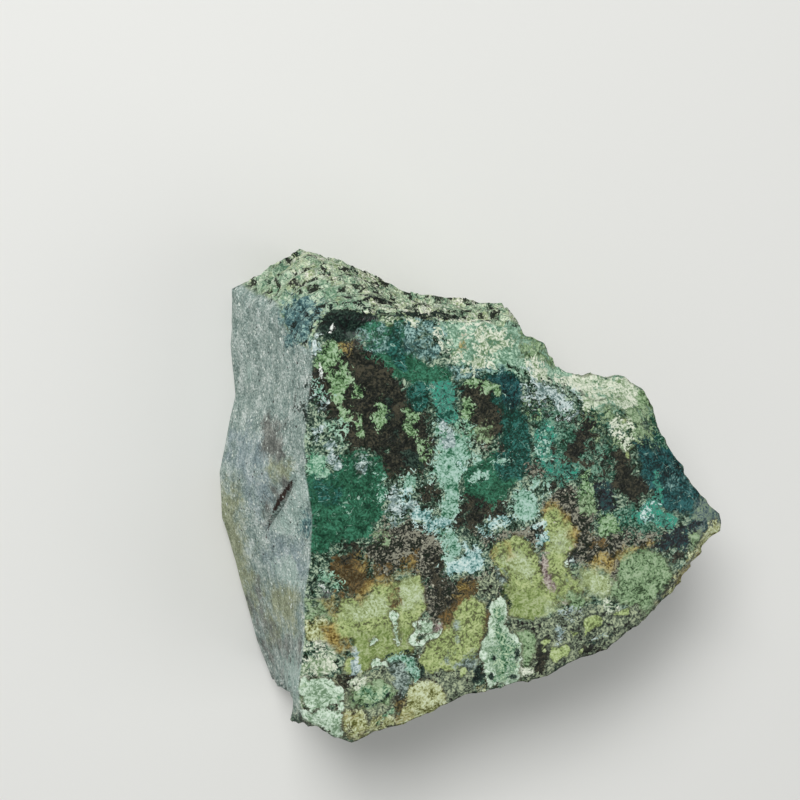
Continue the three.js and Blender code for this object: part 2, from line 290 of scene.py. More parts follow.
@dataclass(frozen=True)
class StoneForm:
    """The stone's plain form and its large relief, within 0.6 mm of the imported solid's.

    Attributes:
        thickness: how high the broad face lies over the back.
        middle: the point that comes to lie over the origin.
        hub: the point of the face from which the walls go outwards.
        columns, wall_rows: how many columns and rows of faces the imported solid's wall has.
        lump_size, lump_height: the lumps of broken walls and of rind.
        rind_lump_share: how much of a lump's height is left on rind.
        scallop_size, scallop_height: the shell-shaped hollows of broken walls.
        scallop_level: how far the ridges between the hollows stand out, as a share of their height.
        step_size, step_height, step_treads: the flat breaks, and how many lie on one swelling.
        step_riser: the share of a flat break that leads up to the next one.
        ledge_pitch, ledge_height: the terraces of the rind.
        ledge_sway, ledge_sway_size: how far a terrace wanders up and down, in terraces.
        ledge_fade: how far below the face the terraces are full.
        sawn_wave_size, sawn_wave_height, face_wave_size, face_wave_height: slow waves.
        rim_band, rim_share: how high the calmer part of a broken wall below the face is, and the
            share of the relief that is left at the top of it.
        rim_fade: how quickly the wall's relief dies away inside the rim.
        foot_share, foot_fade: the share of the relief left at the foot, and how high that is.
        crack, crack_width, crack_depth: the open crack's course by y and z, and its size.
        crack_taper: the share of its depth that the crack loses towards its end.
        hollows: the cavities of the face: place, reach and depth.
    """

    thickness: float = 34.0
    middle: Pair = (3.94, -0.68)
    hub: Pair = (4.0, -1.0)
    columns: int = 144
    wall_rows: int = 24
    lump_size: float = 9.0
    lump_height: float = 1.1
    rind_lump_share: float = 0.5
    scallop_size: float = 14.0
    scallop_height: float = 3.2
    scallop_level: float = 0.3
    step_size: float = 16.0
    step_treads: float = 3.0
    step_height: float = 1.4
    step_riser: float = 0.25
    ledge_pitch: float = 4.6
    ledge_height: float = 1.5
    ledge_sway: float = 0.9
    ledge_sway_size: float = 10.0
    ledge_fade: float = 2.5
    sawn_wave_size: float = 13.0
    sawn_wave_height: float = 0.45
    face_wave_size: float = 15.0
    face_wave_height: float = 0.22
    rim_band: float = 7.0
    rim_share: float = 0.25
    rim_fade: float = 14.0
    foot_share: float = 0.6
    foot_fade: float = 2.5
    crack: tuple[Pair, ...] = ((3, 30.5), (-1.5, 25.5), (-5.5, 20.5), (-9, 16))
    crack_width: float = 1.3
    crack_depth: float = 1.6
    crack_taper: float = 0.7
    hollows: tuple[tuple[Pair, Pair, float], ...] = (
        ((-20.5, 26.6), (4.2, 2.0), 1.3),
        ((-24.6, -14.6), (1.9, 1.3), 1.0),
    )

    def place(self, column: Array) -> Place:
        """What the stations state at any column, in proportion between two stations.

        Args:
            column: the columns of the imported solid's wall, counted from the first station.

        Returns:
            Everything stated there.
        """
        rims = np.array([station.rim for station in OUTLINE])
        lengths = np.hypot(*(np.roll(rims, -1, axis=0) - rims).T)
        walked = np.concatenate([[0], np.cumsum(lengths)])
        stops = np.floor(self.columns * walked / walked[-1] + 0.5)
        rows = np.array([station.values() for station in [*OUTLINE, OUTLINE[0]]])
        wrapped = np.mod(column, self.columns)
        return Place(*(np.interp(wrapped, stops, values) for values in rows.T))

    def outwards(self, x: Array, y: Array) -> tuple[Array, Array]:
        """The level direction from the hub outwards through a point.

        Args:
            x, y: the point.

        Returns:
            The x and y of a step of length 1 in that direction.
        """
        dx, dy = x - self.hub[0], y - self.hub[1]
        length = np.maximum(np.hypot(dx, dy), TINY)
        return dx / length, dy / length

    def broken_relief(self, x: Array, y: Array, z: Array) -> Array:
        """Shell-shaped hollows that meet in ridges, lumps on them, and flat breaks in steps.

        The hollows are a noise folded at zero, and the steps are a noise rounded down, with risers.

        Args:
            x, y, z: points of the wall, in millimetres.

        Returns:
            How far each stands out, in millimetres.
        """
        size, step = self.scallop_size, self.step_size
        lumps = fractal_noise(x / self.lump_size, y / self.lump_size, z / self.lump_size, 2)
        hollow = np.abs(noise(x / size + 7, y / size, z / size))
        climb = self.step_treads * noise(x / step, y / step + 9, z / step)
        tread = np.floor(climb)
        riser = smooth(clamp01((climb - tread - 1 + self.step_riser) / self.step_riser))
        rounded = self.lump_height * lumps + self.scallop_height * (self.scallop_level - hollow)
        return rounded + self.step_height * (tread + riser)

    def rind_relief(self, x: Array, y: Array, z: Array) -> Array:
        """Terraces that jut out at their upper edge and fall back below it, one under another.

        A terrace falls back in proportion to how far down it a point is, moved by a noise.

        Args:
            x, y, z: points of the wall, in millimetres.

        Returns:
            How far each stands out, in millimetres.
        """
        size = self.ledge_sway_size
        sway = noise(x / size, y / size + 3, z / size)
        climb = (self.thickness - z) / self.ledge_pitch + self.ledge_sway * sway
        terrace = 0.5 - (climb - np.floor(climb))
        lumps = fractal_noise(x / self.lump_size, y / self.lump_size, z / self.lump_size, 2)
        faded = clamp01((self.thickness - z) / self.ledge_fade)
        return self.ledge_height * terrace * faded + self.rind_lump_share * self.lump_height * lumps

    def sawn_relief(self, x: Array, y: Array, z: Array) -> Array:
        """A slow wave, less a bell curve of the distance to the open crack.

        Args:
            x, y, z: points of the wall, in millimetres.

        Returns:
            How far each stands out, in millimetres.
        """
        size = self.sawn_wave_size
        wave = noise(x / size, y / size + 5, z / size)
        distance, along = path_distance(y, z, list(self.crack))
        slot = bell(distance / (self.crack_width / 2)) * (1 - self.crack_taper * along)
        return self.sawn_wave_height * wave - self.crack_depth * slot

    def wall_relief(self, x: Array, y: Array, z: Array, rind: Array, sawn: Array) -> Array:
        """How far the wall stands out from its plain form, by the share of each kind of surface.

        Args:
            x, y, z: points of the wall, in millimetres.
            rind, sawn: the share of each at every point.

        Returns:
            How far each stands out, in millimetres.
        """
        broken = 1 - rind - sawn
        roughness = mix(self.rim_share, 1.0, clamp01((self.thickness - z) / self.rim_band))
        rough_part = broken * roughness * self.broken_relief(x, y, z)
        return rough_part + rind * self.rind_relief(x, y, z) + sawn * self.sawn_relief(x, y, z)

    def face_relief(self, x: Array, y: Array) -> Array:
        """How far the broad face stands above its plane: a slow wave less the hollows.

        A hollow is a bell curve in two directions.

        Args:
            x, y: points of the face, in millimetres.

        Returns:
            Their heights, in millimetres.
        """
        size, level = self.face_wave_size, np.full(x.shape, 2.0)
        height = self.face_wave_height * fractal_noise(x / size, y / size, level, 2)
        for at, reach, depth in self.hollows:
            height = height - depth * np.exp(
                -(((x - at[0]) / reach[0]) ** 2) - ((y - at[1]) / reach[1]) ** 2
            )
        return height


# ---- The minerals and where they lie ----


@dataclass(frozen=True)
class MineralFinish:
    """How one mineral looks.

    Attributes:
        dark, tone, light: its darkest, usual and lightest colour.
        contrast: how far the grain pushes the colour towards the darkest and the lightest.
        drift: how far its edge wanders in broad waves, in millimetres.
        fray: how far its edge is frayed by fine grain, in millimetres.
        softness: how wide the blend across its edge is, in millimetres.
        rim, rim_width: the colour and width of the line round it, where it has one.
    """

    dark: str
    tone: str
    light: str
    contrast: float = 0.5
    drift: float = 0.8
    fray: float = 0.6
    softness: float = 0.3
    rim: str = ""
    rim_width: float = 0.3


class Mineral(Enum):
    """What the stone is made of and how it looks, in the order in which one lies over another."""

    DEEP_GREEN = MineralFinish("053220", "21553c", "3b7b5f", 0.9, 0.6, 0.7, 0.5)
    TEAL = MineralFinish("042014", "093e32", "316f65", 0.9, 0.6, 0.7, 0.6)
    BLUE_TEAL = MineralFinish("040f0e", "0d3c3b", "2d6464", 0.9, 0.6, 0.8, 0.8)
    EMERALD = MineralFinish("042b15", "275845", "769d86", 1.0, 0.9, 1.0, 0.5)
    LIGHT_TEAL = MineralFinish("0a4537", "4a8272", "2b987e", 1.0, 0.7, 0.9, 0.5)
    SPECKLED = MineralFinish("0b1907", "373730", "8e8e7c", 1.3, 0.8, 1.1, 0.35)
    # Partly a pale layer of the rind, partly painted sheen on the bevelled slope below the crust.
    PALE_SLOPE_AND_SHEEN = MineralFinish("567a5f", "83a78f", "bbd8bd", 0.9, 0.7, 1.0, 0.35)
    LIME = MineralFinish("585d3c", "94a767", "b7c38b", 1.0, 0.5, 0.6, 0.35, "4d4326", 0.35)
    PALE_LIME = MineralFinish("7f8c58", "aaba89", "c3d1b0", 1.0, 0.8, 0.9, 1.2)
    OLIVE_LIME = MineralFinish("5b6f35", "859859", "a8b586", 1.0, 0.8, 0.9, 1.3)
    OLIVE_BROWN = MineralFinish("3c2d0e", "4f4830", "775f35", 1.0, 0.6, 0.8, 0.7)
    HAZE = MineralFinish("102f32", "3d6460", "97b9b1", 1.0, 0.6, 1.0, 0.9)
    SMOKE = MineralFinish("2f3c2f", "5f7069", "a6b7ad", 1.0, 0.7, 0.8, 0.8)
    ASHEN_TIP = MineralFinish("183c3c", "5e7070", "80947a", 1.0, 0.4, 0.5, 1.0)
    MARGIN = MineralFinish("100d08", "626f5b", "abb694", 1.0, 0.7, 1.0, 0.5)
    BROWN_BLACK = MineralFinish("090e07", "20241a", "434031", 1.1, 0.7, 1.2, 0.4)
    BLUE_BLACK = MineralFinish("06140f", "232328", "224746", 1.0, 0.5, 0.9, 0.4)
    LIME_CHIP = MineralFinish("616e40", "a1b474", "bbc998", 1.0, 0.3, 0.4, 0.2, "2e342a", 0.3)
    LEAF = MineralFinish("0f2b10", "6d9261", "a1bb98", 1.0, 0.25, 0.65, 0.22, "1c2a1c", 0.25)
    SAGE = MineralFinish("2c4225", "7c996f", "a0b692", 1.0, 0.8, 0.8, 0.5, "4c5238", 0.3)
    JADE = MineralFinish("3a7959", "81ac90", "aacbb4", 1.0, 0.5, 0.9, 0.4)
    CREAM = MineralFinish("6f8961", "bbc8af", "e1e5d2", 1.0, 0.4, 0.8, 0.35)
    TAN = MineralFinish("555823", "acb27f", "ced8b5", 1.0, 0.6, 0.8, 0.4, "4a4430", 0.3)
    MINT = MineralFinish("1f5d3f", "86b09a", "b0cec1", 1.0, 0.5, 1.1, 0.3)
    ASH = MineralFinish("59716e", "9aafab", "cfdcd8", 1.0, 0.5, 0.9, 0.35)
    ICE = MineralFinish("3f746e", "aacbc6", "d2e4dd", 1.0, 0.5, 1.0, 0.3)
    ORANGE = MineralFinish("524113", "8b783f", "b9a867", 1.0, 0.5, 0.8, 1.3)
    TURQUOISE = MineralFinish("6f8b6c", "b2cab0", "d8e8d6", 1.0, 0.4, 0.5, 0.2, "4a4534", 0.3)
    CORE_GREEN = MineralFinish("0a4312", "5f8869", "b4cba7", 1.0, 0.5, 1.0, 0.35)
    MAUVE = MineralFinish("594748", "8e807a", "bbb5a8", 1.0, 0.4, 0.8, 0.5)
    SIDE_OLIVE = MineralFinish("71785e", "99a283", "c6ccae", 1.0, 1.6, 0.8, 2.6)
    SIDE_BLUE = MineralFinish("66797c", "94a7a9", "ccd8d8", 1.0, 1.6, 0.8, 2.6)
    # Partly real brown patches of the sawn side, partly painted shadow beside the open crack.
    SIDE_BROWN_AND_SHADE = MineralFinish("474b46", "757a74", "a9aca3", 1.0, 1.4, 0.8, 2.2)
    SIDE_PALE = MineralFinish("7f988f", "abc1b8", "dde9e2", 1.0, 0.6, 0.7, 0.8)
    # Painted shade: the dark brown colour inside the open crack of the sawn side.
    SIDE_CRACK_SHADE = MineralFinish("160d0a", "2c1f19", "4c3a30", 0.8, 0.1, 0.15, 0.2)
    RIND_TEAL = MineralFinish("2f5254", "5a8082", "a0c2b8", 1.0, 1.0, 0.8, 1.0)
    RIND_GREEN = MineralFinish("5f8a6c", "9cbb9e", "d6e8cc", 1.0, 1.2, 0.8, 1.5)
    # Partly real dark mineral, partly painted shade in the recess under the crust, along the rim,
    # in the vug and at the upper left edge.
    CHARCOAL_AND_SHADE = MineralFinish("040404", "072119", "35493d", 0.8, 0.25, 0.35, 0.25)
    # Painted highlights: white glints on the left ridge, in the vug and near the crust's recess.
    WHITE = MineralFinish("a3b3ac", "dfe5dd", "f8faf4", 0.8, 0.1, 0.35, 0.25)

    @property
    def key(self) -> str:
        """The name of the attribute that holds its depth."""
        return self.name.lower()


def paired(numbers: Row) -> list[Pair]:
    """A run of numbers two by two, as points."""
    return list(zip(numbers[::2], numbers[1::2]))


@dataclass(frozen=True)
class Patch:
    """A patch of a mineral inside a closed outline on the map.

    Attributes:
        outline: its corners, in millimetres from the middle of the cut face.
        cap: the most that its depth counts for, in millimetres. A low cap lets other minerals show
            through.
    """

    outline: list[Pair]
    cap: float

    @classmethod
    def read(cls, row: Row) -> "Patch":
        """A patch from its cap, and then x and y of each corner."""
        return cls(paired(row[1:]), row[0])

    def depth(self, x: Array, y: Array) -> Array:
        """How far inside the edge each point is, in millimetres; below 0 outside."""
        return np.minimum(outline_depth(x, y, self.outline), self.cap)

    def corners(self) -> list[Pair]:
        """The points that bound it."""
        return self.outline


@dataclass(frozen=True)
class Vein:
    """A vein or crack of a mineral along a path.

    Attributes:
        path: its course, in millimetres from the middle of the cut face.
        width: how wide it is.
    """

    path: list[Pair]
    width: float

    @classmethod
    def read(cls, row: Row) -> "Vein":
        """A vein from its width, and then x and y of each point of its path."""
        return cls(paired(row[1:]), row[0])

    def depth(self, x: Array, y: Array) -> Array:
        """How far inside the vein each point is: half the width less the distance to its path."""
        distance, _ = path_distance(x, y, self.path)
        return self.width / 2 - distance

    def corners(self) -> list[Pair]:
        """The points that bound it."""
        return self.path


@dataclass(frozen=True)
class Spot:
    """A round spot of a mineral.

    Attributes:
        at: its middle, in millimetres from the middle of the cut face.
        reach: how far it reaches across and up.
    """

    at: Pair
    reach: Pair

    @classmethod
    def read(cls, row: Row) -> "Spot":
        """A spot from x and y of its middle, and then its two reaches."""
        return cls(row[:2], row[2:])

    def depth(self, x: Array, y: Array) -> Array:
        """How far inside the spot each point is, from its distance in reaches."""
        away = np.hypot((x - self.at[0]) / self.reach[0], (y - self.at[1]) / self.reach[1])
        return (1 - away) * min(self.reach)

    def corners(self) -> list[Pair]:
        """The points that bound it."""
        (x, y), (a, b) = self.at, self.reach
        return [(x - a, y - b), (x + a, y + b)]


Mark = Patch | Vein | Spot
Marks = dict[Mineral, list[Row]]
M = Mineral

# The map of the minerals: one row of numbers for each place where a mineral shows, in millimetres
# from the middle of the cut face. x runs right and y up towards the rind.

# The cap, and then x and y of each corner.
PATCHES: Marks = {
    M.DEEP_GREEN: [
        (4, -22.5,28.5, -17,30, -14.8,29.3, -14.5,25, -10,22, -6.5,21.5, -6.3,19.8, -7,18.8, -10,19,
         -12,18.4, -17.5,20, -18,21.5, -21,23.5),
        (4, -30.6,4.9, -27,5.4, -24,8, -22,9, -19,7.6, -18,5, -18,0, -20.4,-6.4, -23,-6.7, -25,-6.3,
         -26,-7.5, -28,-8.3, -30.6,-8.2, -31,0),
        (4, -5.2,4.5, -3.5,5.4, -0.5,5.8, 0,7.5, 1.5,8.5, 5,5, 4.5,3, 3,1.5, 3,0, 0,-2, -2,-2.5,
         -5,0.5),
    ],
    M.TEAL: [
        (1, -16.8,28.6, -14.9,28.8, -14.8,21.4, -17.6,24, -17.9,26.4),
        (4, -14.3,18, -12.5,18.6, -10.3,18.3, -10.2,14.7, -12.3,13.9, -13.9,14.5, -14.7,16),
        (4, -5.8,18.3, -4.5,19.8, 0,20.8, 3,20.6, 4.5,19.5, 5.2,15.5, 2.5,13, 2,11, 1,10.3, -4,12),
        (4, 2.6,14.5, 5,14.5, 6.4,12.5, 7.2,7, 6.8,4, 5,3, 2,3, 0.6,7, 1.8,9.5),
        (-0.1, -30.6,4.6, -26,4.6, -24.6,2.6, -25.6,0.4, -28.6,-0.6, -30.6,0.4),
    ],
    M.BLUE_TEAL: [
        (1, 0,20.6, 3.4,20.2, 4.7,18, 5.1,14.6, 3,13.4, 1.6,15.4, 0.8,18.2, -1,19.4),
        (4, 24.5,9.2, 29.5,10, 31.5,6.5, 37,-0.5, 37,-3, 34,-4, 31,-3.5, 26,0.6),
    ],
    M.EMERALD: [
        (0.6, 14,15.4, 22,14.5, 29.5,15, 32,10, 30.5,7.5, 25.5,8.4, 22.5,7, 17,9, 14.6,12),
        (1, 5.5,15, 11,14.6, 14,12.4, 14.4,9.6, 12.6,7.6, 12,3, 9.5,2.5, 7.5,4.5, 7,11),
        (0.4, 14.5,8, 22,8, 22,2, 14,2.5),
        (0.6, 20,-3.4, 24.5,-2.4, 25.5,-5.5, 29,-7, 24,-7, 21.5,-6),
    ],
    M.LIGHT_TEAL: [
        (4, -9.8,18.6, -7.6,19.6, -6.4,18.4, -6.1,16, -7.3,14.8, -9.7,14.9, -10.1,16.6),
        (4, -10,16.6, -6.2,16, -6,12.4, -9.2,12.4),
        (4, 7.2,11.5, 9.3,12.2, 10.1,11, 9.9,6, 9.2,5, 7.8,6),
        (0.5, 24.4,-3, 28.2,-0.8, 29.6,-1.4, 29.4,-3, 32.8,-5, 31,-6.2, 28,-4.9, 25.5,-4.8, 24,-4),
        (-0.15, 9.6,7, 14,7.5, 14.6,3, 12,1.4, 9.5,3),
    ],
    M.SPECKLED: [
        (-0.3, -4.6,12.8, -2,13, 1.6,10, 1.6,8, 0,6.8, -4.4,10.4),
        (0.4, 6.4,5.4, 8.4,5.6, 9,3.6, 7.8,2.8, 6.2,3.4),
        (4, -21.5,-7.5, -19,-6.8, -18,-3.4, -16,-4.4, -14,-3, -11,-3.4, -8,-7, -8.4,-11.5, -7,-13.4,
         -1,-12.4, 0,-11.6, 1.4,-12, 2.6,-14, 2.6,-16.4, -1,-16.6, -3.4,-15.6, -7,-17.4, -8,-19.4,
         -9.4,-20.6, -10.6,-20.4, -11.2,-13.5, -13,-11, -17,-12.4, -20,-12.6),
        (4, -3.4,-9, -2.4,-5.6, 4,-5.6, 8.6,-4.4, 9,-1.4, 11,1, 13.5,1.3, 14.8,0, 15,-2.5, 17.5,-3,
         18.3,-4, 18,-6.5, 28,-7, 30.5,-6.6, 32,-8, 29.5,-9.4, 22.3,-10.5, 22.8,-13, 22.5,-15.7,
         21.2,-15, 20.7,-13.3, 19.5,-12, 15,-12, 12,-9, 8,-9, 4,-6.6),
    ],
    # Partly painted sheen: the bevelled slope is painted paler where it catches light.
    M.PALE_SLOPE_AND_SHEEN: [
        (4, -10,29.5, -5,29.5, 5.3,28.3, 8.3,27, 15,20.5, 11,18, 3,21, -4,20.6, -6.5,21),
        (4, 12,23, 17,20.5, 24,19.5, 28,17.5, 29.5,13.5, 27,12.5, 24,14, 18,14.2, 14.6,16.5, 11,18),
        (1, 2.4,21.8, 6.4,21.2, 6.2,18.8, 3.2,19.4),
    ],
    M.LIME: [
        (4, -25.5,-17.5, -24.8,-15.5, -22.8,-16.2, -20.3,-15.3, -20.5,-13.5, -12.5,-12.6, -11.3,-14,
         -11.2,-17.5, -12.7,-20, -12.8,-21.3, -13.5,-22, -13.3,-25, -17.4,-25, -20,-27, -24,-28.3,
         -24.7,-27, -24.3,-25.4, -22.7,-25, -23.2,-22, -25,-22.3, -27,-21, -28,-19),
        (4, -5.5,-16.7, -3,-16.3, -1,-17.5, -1.2,-19, -0.5,-21, -2.3,-26, -2.2,-27.5, -9,-28.8,
         -12,-28, -12.3,-26, -10.5,-23, -9,-22.3),
        (4, 9.7,-1.3, 12,-2, 12.4,-3.7, 13.6,-4.2, 14.7,-7.8, 13,-10.5, 13,-12, 14.5,-14.2,
         15.5,-14.5, 16,-16, 15,-17, 11,-18.5, 9.5,-17.5, 8.5,-16, 9.5,-9.5, 9.2,-5.5, 8.5,-4),
        (4, 0.3,-8.5, 3.5,-6.7, 5.3,-6.9, 8,-10, 9,-16, 10,-18, 8,-19.5, 5,-20.5, 3.2,-19.5,
         2.7,-17.3, 3.3,-15.5, 2.7,-13.5, 0.3,-11),
    ],
    M.PALE_LIME: [
        (1.2, -25.2,-15.6, -23,-16.6, -20.4,-14.8, -18.4,-16, -17.4,-17.4, -17.8,-18.8, -20.4,-18.4,
         -22.4,-19.4, -25.2,-18.4),
        (0.5, -14.8,-12.6, -12.8,-13.6, -12.4,-15.8, -13.6,-17.6, -15,-17.2, -15.6,-15),
        (0.4, 0.6,-8.8, 2.4,-9.4, 4.6,-8, 7.4,-12.6, 6.8,-14, 4.4,-13.4),
        (0.3, 10,-6, 13.4,-6, 13.6,-8.6, 11.6,-9.6, 10,-9.4),
        (4, 15.2,-12.6, 18,-12, 20.5,-13.5, 22.4,-17, 20,-17.6, 15,-16),
        (0.3, 9,-18, 13,-17.6, 16,-16.4, 17,-17.6, 9,-20),
    ],
    M.OLIVE_LIME: [
        (0.3, 1.4,-14.6, 3.8,-14.4, 3.8,-17, 1.8,-17),
        (0.9, -23.4,-21, -18.4,-20.6, -16.4,-21.4, -13.4,-20.6, -13.4,-24.8, -22.4,-27),
        (0.7, 4,-16.4, 8.4,-16, 9.4,-19, 7.6,-21.2, 5,-21.4, 3.2,-19.4),
    ],
    M.OLIVE_BROWN: [
        (4, -26.8,-9.6, -26,-8.6, -22.5,-8.7, -21,-9.4, -20.5,-11, -21,-12.5, -20.5,-14,
         -21.5,-15.3, -24,-14, -26.9,-11.2),
        (0.15, -28.4,-15, -26.4,-14, -25,-15, -22,-14.6, -21,-13.4, -13,-10.6, -13,-9, -20,-10.6,
         -24,-12.2),
        (0.5, -5,-13.4, -2,-13.4, -1.6,-15.6, -5,-16.2, -8,-18.4, -9,-20.6, -7.4,-20.6, -5.8,-17.6),
        (0.9, 16.6,-7, 20,-6.9, 20.6,-8.4, 19,-9.6, 17,-9.2),
        (0.2, -17.6,-13.6, -16,-13.6, -15.3,-15.5, -15.7,-16.8, -16.8,-17.3, -17.7,-16),
    ],
    M.HAZE: [
        (-0.22, -23.4,27.2, -21,29, -18,29.8, -14.8,29.2, -14.8,27.4, -17.4,26.4, -18,24.4,
         -20.4,24),
        (0.2, -14.6,24.2, -14.7,29, -10,29, -8.8,26, -9.6,23.6, -12,23.5),
        (0.3, -7.4,21.8, -4,21.4, 0,22, 2,21.2, 2,20.6, -2,20.4, -6.4,19.4),
        (-0.2, 29.6,3.6, 32,3.4, 34.8,1.6, 34.4,-0.6, 31.4,0.4, 30,1.6),
    ],
    M.SMOKE: [
        (0.1, -22.8,7.6, -21.5,8.2, -20.4,6.5, -20.6,5, -22,5),
        (0.3, 0.8,-11.8, 3.2,-12.4, 2.4,-14.4, 1.4,-14.4, 0.6,-13),
        (0.7, -10.2,-27, -8.4,-26.4, -7.4,-25, -7,-25.4, -7.2,-26.8, -8.6,-27.4),
        (0.8, -6.6,-27.6, -3,-25, -2,-25.6, -2.2,-28, -4.2,-28.6),
        (4, -17.8,-26.6, -15,-26.2, -13.2,-28.5, -13.4,-30, -15.3,-33.4, -16.3,-33, -16.5,-30.3,
         -18,-27.5),
    ],
    M.ASHEN_TIP: [
        (4, 36.4,-1, 38.5,-2.2, 40.7,-5, 41,-6.7, 38.5,-8.6, 36,-8, 35.2,-5, 35.4,-2.6),
    ],
    M.MARGIN: [
        (0.5, -2,-13.6, 0.6,-12.6, 1.6,-15.6, -0.4,-17.4, -2.6,-16.2),
        (4, -26,-28, -24.7,-27.6, -22,-28, -18.3,-27, -17.3,-28.5, -16,-33, -16,-37, -20,-39,
         -25,-38, -26.5,-34),
        (4, -13,-30, -12.2,-28.2, -2.5,-28, -2.8,-33, -8,-34, -8.4,-30.6),
        (4, 3,-20, 9,-20.4, 15,-18.5, 21,-19.5, 28.5,-18.5, 31,-20, 26,-27, 14,-33.5, 5.5,-33.5,
         6,-29, 7.4,-26, 6,-22.8, 3,-22.4),
    ],
    M.BROWN_BLACK: [
        (4, -22.8,26.4, -21,24, -18.6,22.8, -15,19, -14.3,16, -13,13.6, -10.6,13, -9.9,9.4, -10.6,6,
         -12,4, -17,4.4, -18,8, -23.6,8.6, -25.6,13, -28.4,14.4, -29.6,16.4, -29.8,20, -29,22.4,
         -27,25.6),
        (0.05, 5,17.6, 7,17.8, 10,15.8, 10.2,13, 12,13, 15.4,14.6, 16.8,13.4, 14,11.8, 6,13.6),
        (4, -5.4,17.8, -3.5,19, -1.6,18.9, 0.4,17.2, 2,12, 1.5,10, -0.5,9, -2.5,10, -4.2,12),
        (0.7, 12.5,7.8, 14.2,9, 14.6,11.4, 15.4,12.6, 17.4,11.6, 18,9, 17,7.4, 15,6.5, 13,6.8),
        (0.02, 14.6,8, 20.5,7, 21,3.5, 17.6,2.4, 15,3.4),
        (4, 20.6,6.4, 22,7.3, 23.6,7, 24.4,2.6, 26,1.5, 26.5,0, 24,-1.6, 22.6,-1, 20.2,1.4, 21,3),
        (1.5, -12.7,1.6, -9.9,2.6, -8.4,1, -10.8,-1.4, -11.9,-0.8),
        (0.8, -19,8.4, -12,9, -11.4,6.5, -13,3.5, -15,4.4, -16.8,2.8),
        (0.35, -5.3,0.5, -0.5,-1, 2.6,0, 3,-1.4, 1.4,-3.4, -1,-3.6, -4,-5.2, -6,-5, -6.3,-3,
         -5.5,-1.5),
        (-0.4, 9.4,7.4, 13,8, 14.8,6, 14.2,1.6, 12,0.8, 9.6,2.4, 9,4.6),
        (0.2, -9.6,-9.6, -8.6,-10, -8.4,-12, -7,-14, -4,-13.4, -4.4,-15.4, -9,-19, -10.2,-11),
        (0.1, -24.4,-6.8, -20.4,-6.4, -20.4,-8.4, -24.2,-8.2),
        (0.1, -25.8,-28, -23.2,-28.2, -23.8,-29.4, -25,-30.6),
        (0.3, -16,-31.4, -14.2,-31.2, -14.2,-34, -15.8,-34.6),
        (-0.3, 30.6,-9.6, 33.4,-9.4, 33.4,-11, 31.8,-14, 30.8,-13.4),
        (0.5, 15.6,-25.4, 17.8,-25.2, 20.6,-26.4, 18,-28.6, 15.2,-28),
        (0.4, 7.8,-24.6, 8.8,-25, 9.2,-27.6, 8.6,-29.4, 7.8,-29, 8.2,-27),
    ],
    M.BLUE_BLACK: [
        (0.7, 33,-5.8, 35.8,-5.2, 37,-5.6, 35,-7.4, 34,-10, 31,-9.5, 29.5,-10.5, 28.5,-9),
        (4, 17.5,1.4, 19,1.6, 20.3,1, 21.3,-0.5, 21,-2.5, 19.8,-3.3, 18,-2.5),
        (-0.1, 13.2,-9.8, 14.4,-9.1, 15.1,-10.2, 14.7,-11.5, 15.1,-13.3, 14.2,-14, 12.9,-11),
    ],
    M.LIME_CHIP: [
        (4, -5.8,-28.4, -4.9,-27.8, -4,-28, -4.1,-29, -5.3,-29.5),
        (-0.1, -25,-35.4, -22.4,-34.4, -20.6,-36, -21.6,-38.6, -24.6,-37.8),
        (4, 16,-21.2, 17.4,-20.5, 18.8,-20.5, 19.5,-21.4, 19,-22.3, 17.6,-22.7, 16.1,-24),
        (4, 20.9,-19.7, 22.2,-20, 24,-19.4, 24,-20.6, 22,-21, 21,-20.7),
        (0.3, 10.4,-25.6, 11.6,-26, 13,-25.4, 13.6,-26, 13.2,-27, 11.8,-27.2, 11.2,-28, 10.4,-27),
        (4, 13.7,-23, 14.6,-23.2, 15.5,-22.8, 15.2,-23.5, 14.2,-23.8),
    ],
    M.LEAF: [
        (4, -29,22, -28.8,24, -27.8,25.6, -26.6,26, -25.4,25, -25.3,23.8, -26.3,22.7, -26.8,21.3,
         -26,20.3, -24.8,22.5, -24.4,21.7, -24.4,20.6, -23.6,20.6, -23.6,19.8, -24,19.4, -23.7,18.3,
         -24.8,17.9, -24.6,17.1, -25.4,16.3, -26.3,16.8, -26.5,17.8, -27.4,17.8, -26.9,21),
        (4, -22.9,18.9, -22.2,18.8, -21.5,18, -21.8,17.2, -22.8,17.3, -23.2,17.9),
        (4, -18.7,16.8, -18,16.2, -17.6,15.2, -18,11.8, -18.6,11.4, -19.9,12.9, -19.7,14,
         -19.2,14.6, -19.1,15.8),
        (4, -22.4,14.6, -21.9,14.2, -21.3,10.4, -21.9,10.6),
        (0.5, -15,12.6, -13.6,12.4, -12.7,11, -13.2,10.3, -14.4,11.1),
        (0, -12.6,9.9, -10.8,9.8, -10.4,7.4, -11.4,6.6, -12.2,7.8),
        (-0.1, -25,15.2, -23.4,15, -23.6,13.4, -24.8,13.4),
        (4, -18.8,16.4, -17.6,16, -17.4,13.4, -18,12.2, -19,12.8),
        (-0.3, 25,13.6, 29.4,13.6, 31,9.4, 28,6.4, 25.6,9),
        (-0.25, 5.4,15.6, 7.8,15, 8.4,12.8, 6.4,12.6),
        (4, -1.9,18.7, -1,19.1, -0.3,18.4, -0.1,17.5, -0.9,16.9, -1.5,17.5),
        (4, -5,16.3, -4.1,16.1, -3.5,14.9, -3.6,13.2, -4.4,12.3, -5,12.9, -5.2,14.4),
        (4, 15.2,3.5, 16.7,3.7, 17,2.5, 16.5,1, 17.2,0, 17.3,-2, 16.3,-2.7, 15.2,-1.8),
        (4, 19,-3.5, 20.5,-3.7, 22.4,-6.3, 20.5,-7, 18,-6.8),
        (4, -11.9,-32.6, -10.4,-32.5, -9.9,-33.4, -10.2,-34.8, -11.6,-35, -12.1,-33.8),
